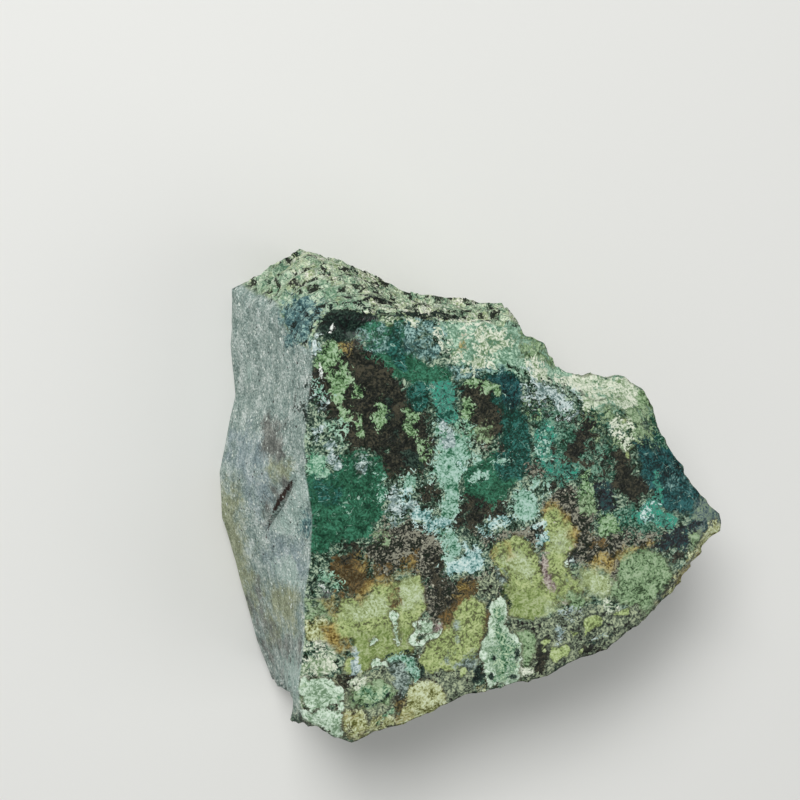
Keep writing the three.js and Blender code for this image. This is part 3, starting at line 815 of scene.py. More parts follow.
        (0.4, 22.7,-10.6, 27,-9.7, 29.4,-11.4, 29.4,-14, 26,-15.4, 23.2,-15),
    ],
    M.SAGE: [
        (-0.1, -18.8,29.9, -16.2,30.1, -15.2,28.9, -17.8,28.3),
        (-0.12, 16,14.2, 22,14.4, 26.5,13.8, 27.5,10, 24,7.4, 19.6,8.4, 17,11),
        (0.1, 15.2,14.2, 18,14, 17.6,11.8, 15.4,11.8),
        (0, 2.5,27.2, 8,26.8, 12,23.6, 10.6,21.4, 8.6,22.6, 5,23.4),
        (0.4, 24,17.2, 27.6,16.4, 28,14, 25,13.8, 23.8,15),
        (-0.2, -2.6,11, -1,11, -1,9.8, -2.2,9.8),
        (0.6, 34.8,-7.6, 35.8,-7, 36.4,-9, 35.4,-11),
        (-0.1, -19.4,-5, -17.2,-5, -17.4,-6.8, -19.4,-6.8),
        (0.6, 15.2,-0.4, 17.4,-0.4, 17.6,-2.6, 15.4,-2.8),
        (0, -30.6,-15.6, -28,-15.4, -27,-19, -28.6,-21.6, -30.6,-21.8),
        (3, -23.9,-30.4, -22.5,-29.2, -18.5,-29.5, -16.3,-31.5, -17,-33, -21,-33.7, -23.2,-33,
         -24,-31.5),
        (4, 22.5,-10.3, 27,-9.5, 30.6,-11.4, 30.4,-16.6, 28.6,-18.6, 25.5,-19, 22.8,-18, 22.3,-15.5,
         23,-13),
        (0, 16.6,-15.6, 20.6,-14.6, 22.4,-16, 22.6,-18.4, 20,-18),
        (-0.2, 12,-13.6, 16,-12.6, 17.4,-15.4, 14,-18, 11.4,-17.4),
        (0.6, 25.4,-18.4, 28.6,-18.6, 28.4,-20.8, 25.8,-21),
        (4, 4.4,-22.6, 6,-23, 7.2,-25, 7.6,-27, 7.2,-28.8, 5.6,-31.6, 4.6,-31, 5.4,-26),
    ],
    M.JADE: [
        (-0.4, -26.8,12.6, -24.4,12.6, -24.4,9.8, -26.4,9.8),
        (1.2, -31,8, -29.6,8.8, -27.6,8, -27.1,5, -29,4.6, -31,5.2),
        (0, -6.4,12.6, -4.4,12.4, -3,10.4, -4,9.2, -6.2,10.6),
        (-0.05, -28.6,-11.6, -25.8,-11.9, -24.8,-12.9, -26,-13.6, -28.4,-13.2),
    ],
    M.CREAM: [
        (-0.05, -5.6,22.2, -3.4,22.2, -3.6,20.6, -5.4,20.6),
        (0.3, -8,24.6, -5,24.6, -5.4,22.8, -7.6,22.8),
        (0.4, -3,26.6, 2,27, 3,24.6, 0.6,23.6, -2.4,24),
        (-0.34, -9,29, -1,28.6, 0,24.6, -4,22, -7,21.6, -8.6,24),
        (4, -6,25, -5.4,24.6, -4.6,24.9, -4.5,23.6, -5.4,22.9, -7.4,22.6, -8,23.8),
        (4, 5.4,22, 7,22.7, 9.6,20.6, 9.4,19, 7.8,18.4),
        (4, 10.2,19.4, 11.5,20, 12.9,19.4, 12.9,18.2, 11.6,18, 10.4,18.6),
        (0.55, 13.8,20, 23,19.2, 25,17.6, 24.4,15.2, 23,14, 20.4,15.3, 16.2,14.2, 15.2,14.5,
         15.4,16, 14,17.8),
        (0.3, 20,10.8, 21.6,12.8, 22.2,10.4, 23,10.4, 24,8.8, 23.4,7.4, 22.7,7.4, 21.5,9.9,
         20.3,10),
        (0.15, -32,-22.6, -28,-22, -26.2,-23.8, -26,-26.6, -28,-28, -32,-28),
        (0.6, -33.4,-30.4, -31.2,-30.4, -31.2,-33.6, -33,-33.6),
        (-0.3, -23.8,-29.2, -21.4,-28.8, -21.4,-29.8, -23.4,-30.2),
        (0, 19.8,-18, 22,-18, 22,-19.8, 20.4,-20),
        (-0.05, 4.8,-27.4, 7,-27.4, 7,-29.6, 5,-29.8),
    ],
    M.TAN: [
        (0.3, 34.8,-11.4, 39.4,-5.4, 41,-7.2, 35.4,-13),
        (0, -30.6,-19, -28.4,-18.4, -26.6,-22, -28,-22.4, -30.6,-21.4),
        (0.3, -25,-34.4, -22,-33.8, -20,-36.8, -21,-39.6, -24.5,-38.6),
        (0.2, -20.4,-35.6, -18,-34.8, -16.2,-35.6, -16.4,-37.4, -20.6,-37.4),
        (4, -14.4,-33.6, -13.6,-31, -12.5,-30, -10,-30.2, -8.2,-32.2, -7.6,-34.8, -10,-36.4,
         -13,-37.4, -16,-37.6, -15.9,-35.5),
        (0.6, -2.2,-31.4, -0.8,-31.2, -0.2,-33, -2,-34),
        (0.1, 8.6,-31.4, 12,-31, 13.6,-32.4, 10,-33.6, 7.4,-33.4),
    ],
    M.MINT: [
        (0, -29.5,19.4, -28.2,19.4, -27.8,18, -28.4,16.8, -29.2,17.4),
        (0.3, 7.6,10.2, 9,10.6, 9.8,9, 9.6,6.4, 8.6,5.8, 7.6,7),
        (-0.2, -19.8,4.8, -18.4,4, -18,1, -19,0, -20,2.4),
        (0.7, -15.2,3.8, -14,4.4, -12.4,3.4, -12.6,2, -13.4,1.2, -15.2,1.6),
        (4, -10,12.5, -8,12, -4,9.6, -2,7, -2.2,6.2, -4.4,5.8, -5.3,3.4, -5.2,1, -6.8,-4.8,
         -5.8,-6.4, -5.4,-8.5, -6,-11.4, -7,-12, -8,-11, -7.4,-8, -9,-5.6, -8.6,-4.4, -9.4,-3.4,
         -11,-3.6, -12.6,-2.6, -12.4,-1.4, -10.5,-1.6, -9,-2.6, -7.9,1.2, -8.3,2.8, -10.2,3.4,
         -10.6,4.8, -9.4,6, -8.6,8),
        (1.2, -11.2,-2.2, -9,-2.2, -7.8,-3.6, -7.2,-6.4, -8.8,-6.8, -9.8,-5, -11.4,-4),
        (4, -3.8,3.6, -2.9,4.2, -2.9,4.9, -0.5,4.6, -0.5,3.6, -1.2,2.8, -3.4,2.7),
        (1.4, 8,0, 7.8,-3, 7,-4.2, 5.4,-4.6, 3,-2.4, 4,1.2, 5,1.4),
        (0.2, 7,2.4, 8.4,2.6, 9.4,1.6, 9.6,0.4, 8,0.2, 7,1.2),
    ],
    M.ASH: [
        (0.2, -30.6,26.8, -29.4,26.8, -28.8,25.6, -29.2,24.4, -30.4,24.4),
        (-0.05, -29,17, -27.8,16.8, -27.6,15.2, -28.6,15.2),
        (0.6, -29.8,11.8, -28.2,12, -28,10, -29.6,9.8),
        (0, 4.2,21, 6.2,21, 6.2,19, 4.4,19),
        (-0.3, 4.2,19.6, 6.5,19.5, 9.5,18, 14.5,17, 15.5,14.5, 13.5,12.8, 10.8,13.2, 5,16),
        (0.6, 9.2,17.3, 12.2,16.7, 12.6,15.7, 14.1,15.5, 14.1,14.2, 11.3,13.4, 10.3,15.8, 9,16.4),
        (0.3, 4.4,18.8, 6.4,18.8, 6.6,16, 5.6,16.2),
        (0.1, -22.4,7.2, -21.2,7.8, -20.8,6.4, -21.6,5.4, -22.4,5.8),
        (4, -27.6,9.8, -26.9,10.1, -25.5,6.1, -26.2,5.8, -27,6.6),
        (0.8, -17.6,1.2, -16.4,2.4, -15.4,1.4, -13.4,1.2, -13,-2, -14.4,-2, -16.2,-3.8, -16.8,-3),
        (0.4, -9.4,12.6, -7.6,12.9, -6.2,11, -6.4,8.6, -7.6,8.6, -9.2,10.4),
        (4, -23.9,-23.6, -23,-23.6, -22.2,-25.2, -22.4,-27, -23.4,-27.6, -23.8,-26.8, -22.8,-25.6),
        (-0.2, 12,-19, 15.4,-18.8, 15.4,-21, 12.4,-20.6),
    ],
    M.ICE: [
        (-0.25, 24.6,-3.4, 27,-1.8, 28.8,-2, 28.6,-3.6, 26.4,-4.6),
        (0, -15.4,1.6, -13.4,1.4, -13.2,-0.4, -15.2,-0.4),
        (0.6, -15.6,1.8, -13.4,1.8, -13,-0.2, -14,-0.8, -15.6,-0.4),
        (1, -13.4,-1.2, -12,-1.2, -9.2,-3.4, -7,-2.4, -6.8,-4.4, -9,-5, -13.2,-2.6),
        (1.4, -4.7,-6.6, -4,-6.6, -3.6,-8.4, -2.8,-7, -2,-7, -1.9,-8.8, -0.9,-10.2, -1.4,-11.4,
         -7.4,-12.2, -8,-11.4, -7.6,-10.4, -5,-9.6),
        (0.2, -1.8,-5, 3.6,-2.4, 4.2,-3.8, 0,-5.4, -0.6,-6.2),
        (0.6, 7.8,-6.3, 9.3,-6.2, 9.5,-6.9, 8.2,-8.1),
        (-0.1, 6.6,-4.6, 8.6,-4, 9,-5.2, 7.4,-5.4),
    ],
    M.ORANGE: [
        (0, -22.4,-9, -21.2,-9, -20.6,-10, -21,-11.4, -22,-10.8, -21.8,-9.4),
        (0.05, -16,-9.4, -14.4,-9.4, -13.4,-10.4, -13.8,-11.2, -16.4,-12, -15.4,-10.8),
        (0.1, -22.6,-15.4, -20.6,-12.2, -17,-12, -16.6,-12.8, -20,-13.6, -22.2,-16.6),
        (0, 16,-12.2, 19.6,-10.2, 20.8,-11.8, 20.8,-13.2, 20,-13.6, 18.6,-11.8, 17.2,-12.6),
        (0.3, -28.4,-19.8, -26.8,-19.6, -25,-23, -25,-24.6, -26,-24.3),
        (4, -24.5,-22, -23.7,-22, -23.6,-23.6, -24.4,-23.6),
        (0.2, -28.4,-15.4, -26.5,-15, -25.6,-16, -26.1,-17.6, -27.2,-17.2),
        (-0.55, -25,-34.8, -22.4,-35.2, -21.6,-37.6, -23.4,-38.6, -24.6,-37.4),
        (-0.5, -15.6,-33.4, -14,-33, -13.4,-35.4, -15.6,-36),
        (0.6, 2.2,-7.6, 3.2,-7.9, 3.6,-9.6, 2.8,-10),
        (0, 0.2,-8.4, 1.4,-8, 1,-9, 0.2,-9.6),
        (0.4, 13.3,-5.4, 14.3,-6, 14.8,-7.6, 14.2,-8.2, 13.2,-6.8),
        (-0.1, 8.8,-2.6, 9.7,-1.3, 11.2,-1.6, 10,-2.4),
        (0, 11.8,-2.8, 13.4,-4.4, 13,-5, 12,-4),
    ],
    M.TURQUOISE: [
        (4, -16.9,-18.5, -16.1,-18.5, -16,-20.6, -15.6,-22, -15.8,-23.6, -16.4,-22.4, -16.5,-20),
        (0.2, -12.2,-20, -10.2,-19.8, -10.2,-21.6, -11.8,-21.6),
        (0.8, -20.1,-25.5, -19.3,-25.4, -17.6,-26.6, -18.3,-27, -20.1,-26.9),
        (4, -31.5,-28, -29,-28.2, -27,-28.7, -26,-30, -24.8,-30.5, -25,-32.5, -30,-33.3, -31.5,-32,
         -32,-30),
        (1.5, -31.8,-33.4, -30,-33.8, -27,-33.4, -25,-33.8, -24.8,-36, -25.3,-37.4, -27,-37.4,
         -29,-35.8, -31.6,-34.8),
        (4, -27.6,-35.6, -25,-35.4, -24.6,-38, -27,-38.6),
        (4, -26,-32.4, -24.8,-32.4, -24.6,-33.8, -26,-33.8),
        (3, 1.3,-16.4, 2.4,-17.1, 2.8,-19, 2.5,-21, 3.1,-22.8, 4.3,-22.7, 5.2,-24.4, 5,-27, 4.4,-29,
         4.4,-31, 3.4,-31.2, 1.4,-30.4, -0.2,-31.8, -1.9,-26, -1.7,-24, -0.5,-22.5, -0.2,-19.5,
         -0.7,-18),
    ],
    M.CORE_GREEN: [
        (0.6, -21.8,-29.9, -20.5,-30.1, -19.4,-31, -18.6,-31, -17.8,-30.6, -17.4,-31.4, -18.6,-32.4,
         -19.8,-32.5, -21,-31.6, -22.2,-31.2),
        (0.05, 0,-23.6, 2.6,-22.8, 4.4,-25, 4.4,-28.4, 3.4,-29.6, 0.6,-29, -0.6,-26.4),
        (0, 0.6,-29.6, 3,-29.2, 4,-30.4, 3.2,-32.6, 1,-32.6, 0.2,-31),
    ],
    M.MAUVE: [
        (4, 8.6,-10.3, 9.6,-10, 9.7,-12, 11.5,-15.4, 10.5,-16.2, 8.9,-14),
    ],
    M.SIDE_OLIVE: [
        (2, -46,6, -42.8,5, -40,-11.7, -38,-16.6, -41,-18, -46,-6),
        (2, -38,-13.4, -35.9,-12.7, -33.5,-13.6, -32.2,-16.9, -32.6,-21, -36.5,-21.4, -38,-17.4),
        (1.2, -36.7,7.4, -35,7.6, -34,6.5, -33.7,4.4, -34.7,2.7, -36.3,2.9, -37.2,5),
    ],
    M.SIDE_BLUE: [
        (1.2, -43,12, -39.7,13, -37.4,10.6, -36.4,1, -38.8,-1),
        (1.5, -36.6,-4, -33,-4, -30.6,-8, -30.6,-11, -34.6,-11, -37,-8),
    ],
    M.SIDE_BROWN_AND_SHADE: [
        (1.5, -37.4,13.1, -34.3,13.4, -33.8,10.5, -34.3,8.1, -36.3,7.4, -37.8,9),
        (0.2, -40.7,-14.1, -38.7,-13, -36.6,-19.5, -35.4,-25.7, -38.1,-24),
        (0, -36,-22, -32.4,-22, -31.8,-26, -34,-29, -36,-27),
        # Painted shadow: the soft brown beside the open crack.
        (0.2, -34.6,3.6, -36,2.4, -37.2,0, -37,-2.4, -33.8,3),
    ],
    M.SIDE_PALE: [
        (1.2, -32.7,5.7, -31.3,5.3, -30.3,0.8, -30.5,-4, -31.9,-5, -34.6,-4.6, -35.8,-3.4,
         -33.1,1.7),
        (0.8, -36.4,-8.2, -33.4,-8.6, -31.8,-11.6, -33,-12.8, -35.8,-11.6),
        (1.5, -34.6,-25, -32.4,-24.4, -31,-27, -31,-34.4, -33.2,-34, -34.6,-30),
    ],
    # Painted shade inside the open crack.
    M.SIDE_CRACK_SHADE: [
        (4, -32.5,4.7, -35,1.7, -36.5,-1.2, -37.4,-5.4, -36.3,-1.6, -33.4,2.9),
    ],
    M.RIND_TEAL: [
        (1.5, -35,32.6, -31.6,33.6, -29.1,33.2, -26,31.8, -28.6,29.7, -30.4,24.6, -33.2,25.6,
         -34.8,29.4),
    ],
    M.RIND_GREEN: [
        (0.6, -33,34.8, -28.6,35.4, -26,33.4, -20,32, -24,31.6, -30,33),
        (-0.2, -42.4,30, -41.6,34.6, -37,37.4, -33,38, -34,33, -38,28),
    ],
    # Marks near the rim and the crust, in the vug and at the upper left edge are painted shade; the
    # rest are dark mineral.
    M.CHARCOAL_AND_SHADE: [
        (-0.06, -18.6,18.4, -17,16.4, -15.4,9.4, -12.6,7.6, -11.8,5.4, -13.6,5.6, -15.4,7.2,
         -17,9.8, -17.2,13),
        # Painted shade: the recess under the overhanging crust.
        (4, -29.1,28.5, -28.2,29.8, -26.9,30.9, -23.4,31.2, -20.4,30.4, -19,29.4, -21.2,28.7,
         -22.6,27.7, -23.2,26.6, -24.2,26.1, -26,26.1, -27.6,26.4, -28.6,27.2),
        (-0.1, -10.8,30, -8.2,30.4, -7.8,28.8, -10.2,28.8),
        # Painted shade: inside the vug.
        (0, -30.4,-12.4, -27.6,-12.4, -26.4,-13.8, -27.6,-15.2, -30,-15.2),
        (0.3, -2.4,-27.6, -1.3,-27.4, -0.9,-29.5, -1.6,-30.4, -3.2,-30.6, -3.4,-30),
        (-0.15, 9.6,-28.4, 13,-28.6, 13,-30.6, 10,-30.8),
        (-0.12, -30.8,30.4, -28.6,30, -28,27.2, -29.8,27.6),
        # Painted shade: the strip at the upper left edge.
        (-0.05, -33,20, -29.8,19.6, -29.6,15, -33,15),
        (0.1, -31,21.6, -29.8,20.6, -29.4,13, -30.6,12, -31.2,15),
        (-0.08, -24,33.4, -20,33, -17,33, -16,30.8, -20,31, -23.4,31.8),
    ],
}

# The width, and then x and y of each point of the path.
VEINS: Marks = {
    M.LIGHT_TEAL: [
        (0.8, 29.2,-1.4, 29,0.4, 28.2,1.6, 28.6,2.8),
    ],
    M.OLIVE_BROWN: [
        (0.4, -0.4,-17.8, -0.5,-19.6, -1,-21.8, -2,-23.6),
    ],
    M.SMOKE: [
        (0.25, -6,-20.3, -5.8,-22, -5.9,-24.4, -6.2,-25.4),
    ],
    M.LIME_CHIP: [
        (0.4, 23.4,7.4, 23.4,6),
    ],
    M.LEAF: [
        (0.9, -14,14.6, -12.9,13.2),
    ],
    M.CREAM: [
        (0.6, -17.4,30, -16.6,29.4), (0.6, -14.2,29.9, -13.2,29),
    ],
    M.TAN: [
        (0.5, 40.8,-7.6, 38.8,-9.6, 36.6,-11.6, 34.4,-13.8, 31.8,-16.6, 28.8,-19),
    ],
    M.MINT: [
        (0.25, -2.2,5.4, 0,5.9, 2.6,6),
        (0.95, -17.3,-26.1, -16,-25.7, -14.6,-25.5, -13.7,-26.6, -13.6,-27.4, -12.6,-28,
         -12.4,-28.8),
    ],
    M.ASH: [
        (0.5, 13.8,-10, 14,-11.6), (0.5, 17.4,-24.6, 18.4,-24.4, 19.6,-23.9),
    ],
    M.ORANGE: [
        (0.3, 36.4,-11.4, 34.4,-13.3, 32.4,-15.4), (0.4, 22.4,-10.4, 24,-9.9, 26,-9.3, 28,-8.9),
        (0.4, 18.3,-12, 18.2,-13.4), (0.22, -8.5,-20.7, -8.3,-21.5, -9,-22.1),
    ],
    M.TURQUOISE: [
        (0.3, -20.2,-22.9, -19.6,-22.4),
        (0.3, -13,-20.4, -12.5,-21.4, -13.5,-22.6, -13.6,-23.2, -12.6,-24, -12.3,-25.6,
         -12.6,-26.4),
        (0.25, -12,-24.2, -11.6,-23.3, -10.6,-22.6, -9.4,-22.4, -8.6,-21.4, -8.8,-20.2),
        (0.3, 12.5,-9.4, 12.8,-11.4, 13.6,-13.2),
    ],
    M.CORE_GREEN: [
        (0.45, -28.6,-33.2, -26.6,-33, -25,-32.7), (0.3, -28.6,-30.6, -27.8,-30.8, -27.4,-31.3),
        (0.3, -31.5,-29.3, -30,-29.6, -28.6,-29.5), (0.45, -19.2,-36.2, -17.6,-34.8, -16.8,-34.4),
        (0.9, 1,-18.8, 1.4,-20, 1.2,-21.6, 1.5,-23.6), (0.8, 0.4,-25.2, 1.8,-24.6, 3,-26),
        (1.2, 1.5,-23.6, 2,-25.5, 2.2,-27.4, 1.9,-29.4),
    ],
    M.CHARCOAL_AND_SHADE: [
        (0.1, 15,17, 16.4,15.9, 17.2,15.5, 18.6,15.5, 20,16, 21.8,15.8, 22.4,15.1),
        (0.34, -3.5,-7.6, -3.1,-8.6, -2.2,-9.1),
        (0.4, -18.2,-25.8, -17,-25, -15.5,-24.6, -14.2,-24.7, -13,-25.8, -12.4,-26.8, -11.7,-27.6,
         -11.7,-28.8),
        (0.3, -23.8,-31, -23.2,-32.4, -22,-33.2, -20,-33.3, -18,-32.5, -17.2,-31.4),
        (0.24, 15.7,-24, 15.7,-21.1, 17.3,-20.2, 19,-20.2, 19.8,-21.4, 19.2,-22.6, 17.8,-23.1,
         16.8,-24),
        (0.35, 16.4,-25, 18.2,-25.2, 20.2,-24.6, 21,-23.8),
        (0.4, -0.7,-18.2, -0.3,-17.4, 0.3,-16.2, 1.6,-15.9, 2.9,-17, 3.3,-18.4),
        # Painted shade: the dark line under the crust's edge along the rim.
        (0.5, -29,31.4, -26,32, -24,31.8, -21.6,31.2, -18.8,30.6, -16.8,30.1, -13,30, -11,29.4,
         -9,30.6, -7.4,29.8, -6,29.6),
        (0.3, -36.6,32.4, -34.6,33.2, -32.4,33.4),
    ],
    # Painted glints along the left ridge and in the vug.
    M.WHITE: [
        (0.34, -28.4,22.6, -28.2,20.4), (0.4, -28.6,-13.1, -27.8,-13.6, -27.4,-14.2),
    ],
}

# x, y, and how far it reaches across and up.
SPOTS: Marks = {
    M.BROWN_BLACK: [
        (-12.3,6.4, 1.5,1.1),
    ],
    M.LIME_CHIP: [
        (12.4,18.8, 0.35,0.5), (22.7,11.8, 0.4,0.4), (9.3,-24.4, 0.7,0.5), (15.6,-26.4, 0.5,0.5),
        (9,-25.8, 0.4,0.3), (3.9,-28.4, 0.7,0.6),
    ],
    M.LEAF: [
        (-12.2,6.2, 0.8,0.9), (0.7,17.6, 0.7,0.8), (-3.3,18.9, 0.7,0.4),
    ],
    M.SAGE: [
        (15,-18.2, 1,0.8),
    ],
    M.CREAM: [
        (-9.1,27.9, 0.6,0.6), (22.7,11.1, 1,0.9), (-1.8,22, 0.8,0.5),
    ],
    M.ASH: [
        (7.8,18.1, 0.9,0.8), (11.9,-23, 0.5,0.8),
    ],
    M.ICE: [
        (-5.3,5.6, 0.6,0.6),
    ],
    M.ORANGE: [
        (-24.4,24.6, 0.3,0.5), (-5.1,24.6, 0.2,0.3), (-4.8,-14.6, 0.8,0.7), (-27.8,-29.6, 0.4,0.25),
    ],
    M.CORE_GREEN: [
        (-25.6,-31.8, 0.3,0.45),
    ],
    M.MAUVE: [
        (-9.2,-21.2, 0.8,0.7), (12.8,-18, 0.45,0.35),
    ],
    M.SIDE_PALE: [
        (-31.1,-12.9, 0.9,0.8), (-40,21.4, 0.4,0.8),
    ],
    M.RIND_TEAL: [
        (-31.2,-2.8, 0.7,0.8),
    ],
    M.CHARCOAL_AND_SHADE: [
        (-4.5,-5.8, 0.9,0.7), (20.2,-15.2, 0.5,0.35), (4.4,-26.4, 0.4,1), (0.5,-26.7, 0.35,0.5),
        (3.8,-30, 0.9,0.4), (0,-29.8, 0.5,0.6),
    ],
    # A painted glint near the crust's recess.
    M.WHITE: [
        (-26.4,28.1, 0.4,0.45),
    ],
}

# Where the walls bear rind. Below and to the left of this they are sawn.
RIND_GROUND = paired((
    -70,35.4, -41.7,34.9, -40.8,35.2, -38.4,33.8, -35.4,32.6, -34.4,29.8, -32.8,26.4, -31,25.2,
    -28,24.4, -20,22, 30,12, 60,12, 60,80, -70,80,
))

# Where the minerals lie in calm, glassy masses, with clean edges and little grain.
CALM_GROUND = [
    paired((
        -29.5,-15, -25,-14.5, -20,-11.6, -12.6,-11.4, -10.4,-14, -10.6,-20, -7,-17, -3,-15.6,
        0,-15.8, 2.4,-14, 0.2,-9, 3,-6.2, 6,-6.6, 8.6,-10.4, 8.4,-3, 9.6,-1, 12.6,-1.8, 14.8,-7,
        15.4,-12.4, 20,-12, 23,-10, 27,-9, 34,-10, 36,-13, 29,-21, 16,-30, 6,-35, -8,-36, -20,-41,
        -33,-38, -32,-27, -30,-21,
    )),
    paired((-30.6,5, -24,5, -19,4, -19,-3, -21,-6, -26,-6, -30.6,-7)),
    paired((-5,20, 4.6,20.4, 7,10, 7,4, 3,0, -2,-1.6, -4.6,1, -4,5.4, 0.6,7, 2,12, 0.6,17)),
    paired((
        -9.6,10, -5.4,11, -4.6,6, -5,0, -4.6,-6, -1,-8, -1,-12, -6.6,-14, -9,-12, -7,-8, -9,-4,
        -9,2,
    )),
    paired((2.6,3, 9,3, 9.4,-2, 7,-5, 3.6,-5)),
    paired((13.6,20.4, 24,20.6, 29,17, 27,13.6, 22,14.4, 15,14.2)),
    paired((-18,29, -7,23, -6,15, -14.6,14.4, -15,20, -19,24)),
    paired((
        21,6.8, 24,7, 31,8, 38,-1, 41,-7, 34,-10, 31,-6, 29,0, 26,3, 25.6,-0.6, 23,-1.4, 20.6,1,
    )),
]


@dataclass
class MineralMap:
    """Where each mineral lies, for any point of the stone.

    The sheets of mineral run down into the stone, and fan out from a point far above it, so the map
    is read where the line from that point meets the cut face.

    Attributes:
        form: the form that it lies on.
        middle: the middle of the map, in the form's own millimetres.
        fan_point: the point from which the sheets fan out.
        reach: the most that a depth can be.
        rind_blend, calm_blend: how wide the edge of the rind and of the calm masses is.
    """

    form: StoneForm
    middle: Pair = (3.94, -0.87)
    fan_point: Triple = (-83.7, 45.94, 323.6)
    reach: float = 4.0
    rind_blend: float = 0.5
    calm_blend: float = 2.0

    def marks(self) -> Iterator[tuple[Mineral, Mark]]:
        """Every mark of the map, with its mineral."""
        for kind, table in ((Patch, PATCHES), (Vein, VEINS), (Spot, SPOTS)):
            for mineral, rows in table.items():
                yield from ((mineral, kind.read(row)) for row in rows)

    def on_face(self, points: Array) -> tuple[Array, Array]:
        """Where each point reads the map.

        Args:
            points: points of the stone, in millimetres, one to a row.

        Returns:
            x and y on the map.
        """
        top = self.fan_point[2]
        share = (top - self.form.thickness) / (top - points[:, 2])
        x = self.fan_point[0] + (points[:, 0] - self.fan_point[0]) * share
        y = self.fan_point[1] + (points[:, 1] - self.fan_point[1]) * share
        return x - self.middle[0], y - self.middle[1]

    def depths(self, points: Array) -> dict[Mineral, Array]:
        """How far inside each mineral every point is: the most that any mark of it gives.

        Args:
            points: points of the stone, in millimetres, one to a row.

        Returns:
            One depth a point for each mineral, in millimetres, held to the map's reach.
        """
        x, y = self.on_face(points)
        found = {mineral: np.full(x.shape, -self.reach) for mineral in Mineral}
        for mineral, mark in self.marks():
            corners = np.array(mark.corners())
            low, high = corners.min(0) - self.reach, corners.max(0) + self.reach
            near = (x > low[0]) & (x < high[0]) & (y > low[1]) & (y < high[1])
            depth = found[mineral]
            depth[near] = np.maximum(depth[near], mark.depth(x[near], y[near]))
        reach = self.reach
        return {mineral: np.clip(depth, -reach, reach) for mineral, depth in found.items()}

    def rind_share(self, points: Array) -> Array:
        """1 where a wall bears rind and 0 where it is sawn, with a narrow blend between."""
        depth = outline_depth(*self.on_face(points), RIND_GROUND)
        return smooth(clamp01(0.5 + depth / self.rind_blend))

    def calm(self, points: Array) -> Array:
        """1 inside the calm masses and 0 outside, with a blend between.

        Args:
            points: points of the stone, in millimetres, one to a row.

        Returns:
            The share of calm at each.
        """
        x, y = self.on_face(points)
        depths = [outline_depth(x, y, outline) for outline in CALM_GROUND]
        return smooth(clamp01(0.5 + np.max(depths, axis=0) / self.calm_blend))


# ---- The skin ----


@dataclass(frozen=True)
class Surface:
    """Points of the skin and what each is, as flat arrays.

    Attributes:
        x, y, z: the points, in millimetres.
        rind, sawn, broken: the share of each kind of wall; all are 0 on the broad face.
        gap: 1 in the bottom of the open crack.
        climb: how many leaves of rind lie above.
        back: 1 on the sawn back.
    """

    x: Array
    y: Array
    z: Array
    rind: Array
    sawn: Array
    broken: Array
    gap: Array
    climb: Array
    back: Array

    @classmethod
    def joined(cls, parts: list["Surface"]) -> "Surface":
        """Several surfaces as one, in the order given."""
        names = cls.__dataclass_fields__
        columns = ([getattr(part, name).ravel() for part in parts] for name in names)
        return cls(*(np.concatenate(column) for column in columns))


# What a surface states that is written to the skin's vertices.
SKIN_SHARES = ("rind", "sawn", "broken", "gap", "climb", "back")


